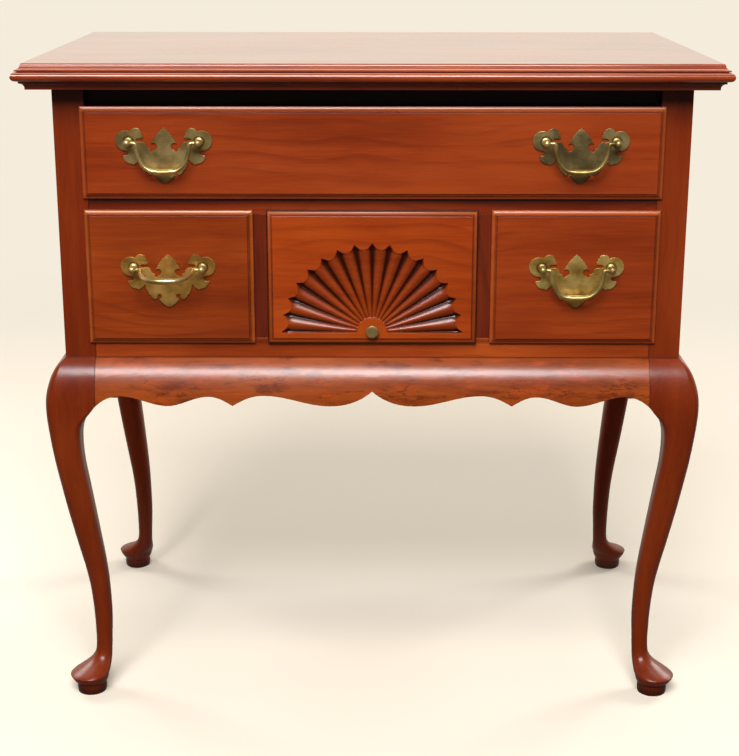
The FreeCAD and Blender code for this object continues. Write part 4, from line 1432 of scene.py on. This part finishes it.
@dataclass(frozen=True)
class Softbox:
    """A soft lamp: its name, size, place, aim, power and colour, in metres and watts."""

    name: str
    width: float
    height: float
    place: Triple
    aim: Triple
    power: float
    colour: Colour = (1.0, 1.0, 1.0)
    matt: bool = False

    def build(self) -> None:
        """Hangs the lamp."""
        data = bpy.data.lights.new(self.name, "AREA")
        data.shape = "RECTANGLE"
        data.size = self.width
        data.size_y = self.height
        data.energy = self.power
        data.color = self.colour
        lamp = bpy.data.objects.new(self.name, data)
        lamp.location = self.place
        aim = Vector(self.aim) - Vector(self.place)
        lamp.rotation_euler = aim.to_track_quat("-Z", "Y").to_euler()
        bpy.context.scene.collection.objects.link(lamp)
        lamp.visible_camera = False
        lamp.visible_glossy = not self.matt


CASE_AIM = (0.0, -0.2, 0.55)
FOOT_AIM = (0.0, 0.0, 0.2)
FILL_WHITE = (1.0, 0.98, 0.95)


@dataclass
class Studio:
    """A plain pale floor that fades into the pale air behind it, soft lamps and the camera.

    The glooms say how pale the surroundings are where gloss shows them: in front of the piece,
    and on the floor behind it. The span is where along Y the one turns into the other.
    """

    wall_colour: Colour = srgb(245, 236, 220)
    floor_colour: Colour = srgb(246, 237, 221)
    bounce_colour: Colour = srgb(128, 98, 62)
    air_colour: Colour = (1.0, 0.955, 0.89)
    air_level: float = 0.09
    front_gloom: float = 0.1
    floor_gloom: float = 0.45
    gloom_span: Point = (-0.3, 0.4)
    floor_radius: float = 14.0
    fade_from: float = 0.9
    fade_to: float = 2.4
    lens: float = 75.59
    eye: Triple = (0.0035, -1.9054, 0.9005)
    pitch: float = -16.41
    heading: float = 0.227
    roll: float = -0.04
    lamps: tuple[Softbox, ...] = (
        Softbox("window_softbox", 1.9, 0.8, (-0.25, -2.45, 2.5), CASE_AIM, 90.0, (0.98, 0.98, 1.0)),
        Softbox("ceiling_softbox", 1.9, 1.0, (-0.3, -1.75, 3.1), CASE_AIM, 54.0, (1.0, 0.93, 0.85),
                matt=True),
        Softbox("rear_softbox", 2.6, 1.4, (0.0, 0.8, 3.2), (0.0, 0.6, 0.0), 30.0,
                (1.0, 0.97, 0.93)),
        Softbox("left_fill_softbox", 0.95, 1.1, (-2.1, 1.25, 2.3), FOOT_AIM, 24.0, FILL_WHITE),
        Softbox("right_fill_softbox", 0.95, 1.1, (2.1, 1.25, 2.1), FOOT_AIM, 30.0, FILL_WHITE),
    )

    def build(self) -> None:
        """Sets up floor, air, lamps and camera."""
        self._floor()
        self._air()
        for lamp in self.lamps:
            lamp.build()
        self._camera()
        bpy.context.scene.view_settings.view_transform = "Standard"

    def _seen(self, nodes: Nodes) -> Socket:
        """Says where the camera, a gloss or a glass looks, rather than a plain lit surface.

        Args:
            nodes: the floor's or the air's nodes.

        Returns:
            A mask that is 1 there.
        """
        path = nodes.node("LightPath", {}).outputs
        shiny = nodes.math("MAXIMUM", path["Is Camera Ray"], path["Is Glossy Ray"])
        return nodes.math("MAXIMUM", shiny, path["Is Transmission Ray"])

    def _floor(self) -> None:
        """The floor: plain paint near the piece, and the air's own paleness far away."""
        work = Workpiece("studio_floor")
        work.disc(Vector(ORIGIN), self.floor_radius, 96)
        floor = work.off()
        recipe = Recipe("studio_paint")
        worn = toned(self.floor_colour, (0.985, 0.985, 0.985))
        recipe.ramp(recipe.cloud(Cloud(3.0, 3.0)), worn, self.floor_colour)
        recipe.cover(recipe.read("LightPath", "Is Diffuse Ray"), self.bounce_colour)
        recipe.finish(Roughness=0.8, Specular_IOR_Level=0.05)
        away = recipe.node("VectorMath", {0: recipe.place()}, operation="LENGTH").outputs["Value"]
        far = recipe.ranged(away, self.fade_from, self.fade_to)
        glow = recipe.node("Emission", {
            "Color": (*self.wall_colour, 1.0),
            "Strength": self._paleness(recipe, "Object", self.floor_gloom)})
        shown = recipe.math("MULTIPLY", far, self._seen(recipe))
        share = recipe.math("MAXIMUM", shown, recipe.read("LightPath", "Is Glossy Ray"))
        mix = recipe.node("MixShader", {
            "Fac": share, 1: recipe.shader.outputs[0], 2: glow.outputs[0]})
        recipe.feed(recipe.tree.nodes["Material Output"], {"Surface": mix.outputs[0]})
        floor.data.materials.append(recipe.material)

    def _air(self) -> None:
        """Even light from all round, and a pale background for the camera, gloss and glass."""
        world = bpy.data.worlds.new("studio_air")
        bpy.context.scene.world = world
        world.use_nodes = True
        nodes = Nodes(world.node_tree)
        light = nodes.tree.nodes["Background"]
        nodes.feed(light, {"Color": (*self.air_colour, 1.0), "Strength": self.air_level})
        pale = nodes.node("Background", {
            "Color": (*self.wall_colour, 1.0), "Strength": self._paleness(nodes, "Generated", 1.0)})
        mix = nodes.node("MixShader", {
            "Fac": self._seen(nodes), 1: light.outputs[0], 2: pale.outputs[0]})
        nodes.feed(nodes.tree.nodes["World Output"], {"Surface": mix.outputs[0]})

    def _paleness(self, nodes: Nodes, place: str, most: float) -> Socket:
        """How pale the surroundings are: full to the camera, and for gloss dimmer in front.

        Args:
            nodes: the floor's or the air's nodes.
            place: the coordinates that say what lies in front.
            most: the paleness that gloss shows behind the piece.

        Returns:
            The strength of their own light.
        """
        side = nodes.node("MapRange", {
            "Value": nodes.along("Y", place),
            "From Min": self.gloom_span[0], "From Max": self.gloom_span[1],
            "To Min": self.front_gloom, "To Max": most})
        camera = nodes.read("LightPath", "Is Camera Ray")
        return nodes.math("MAXIMUM", side.outputs["Result"], camera)

    def _camera(self) -> None:
        """The camera, in front and a little above."""
        data = bpy.data.cameras.new("camera")
        data.lens = self.lens
        data.sensor_width = 36.0
        camera = bpy.data.objects.new("camera", data)
        camera.location = self.eye
        turn = (90.0 + self.pitch, self.roll, self.heading)
        camera.rotation_euler = [math.radians(angle) for angle in turn]
        bpy.context.scene.collection.objects.link(camera)
        bpy.context.scene.camera = camera


def main() -> None:
    """Builds the lowboy's pieces in order and reports each one."""
    logging.basicConfig(level=logging.INFO, format="%(name)s: %(message)s")
    CaseWork().dress_all()
    LOG.info("boards finished")
    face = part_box("middle_drawer_front")[0].y
    fan = FanFront().build(Cherry(
        "carved_front_cherry", GrainAxis.ALONG_X, tone=srgb(154, 58, 9), shift=(0.17, 0.6, 0.2),
        coat=0.2, coat_haze=0.3, field=drawer_field("middle_drawer_front"),
        glaze_and_shade_from=face + 0.0014))
    LOG.info("fan front: %d faces", len(fan.data.polygons))
    olive = Metal("olive_brass", srgb(206, 180, 122), srgb(168, 144, 90), srgb(124, 104, 60),
                  metallic=0.75)
    dark = replace(olive, bright=srgb(190, 170, 116), middle=srgb(142, 125, 80),
                   dull=srgb(96, 82, 50), shift=(0.3, 0.0, 0.2))
    golden = replace(olive, bright=srgb(240, 194, 108), middle=srgb(204, 154, 74),
                     dull=srgb(146, 106, 46))
    green = replace(olive, bright=srgb(238, 210, 128), middle=srgb(200, 164, 84),
                    dull=srgb(140, 106, 46), shift=(0.1, 0.2, 0.5))
    rod = Metal("rod_brass", srgb(242, 220, 156), srgb(204, 180, 112), srgb(146, 124, 70),
                polish=0.27, metallic=0.85)
    for site, brass in (
        (PullSite("top_left_pull", "top_drawer"), olive),
        (PullSite("top_right_pull", "top_drawer"), dark),
        (PullSite("left_pull", "left_drawer", raised=79.0), golden),
        (PullSite("right_pull", "right_drawer"), green),
    ):
        Pull(site).build(brass, rod)
        LOG.info("pull: %s", site.name)
    FanKnob().build(replace(olive, name="knob_brass", metallic=0.55, polish=0.36))
    Studio().build()


if __name__ == "__main__":
    main()
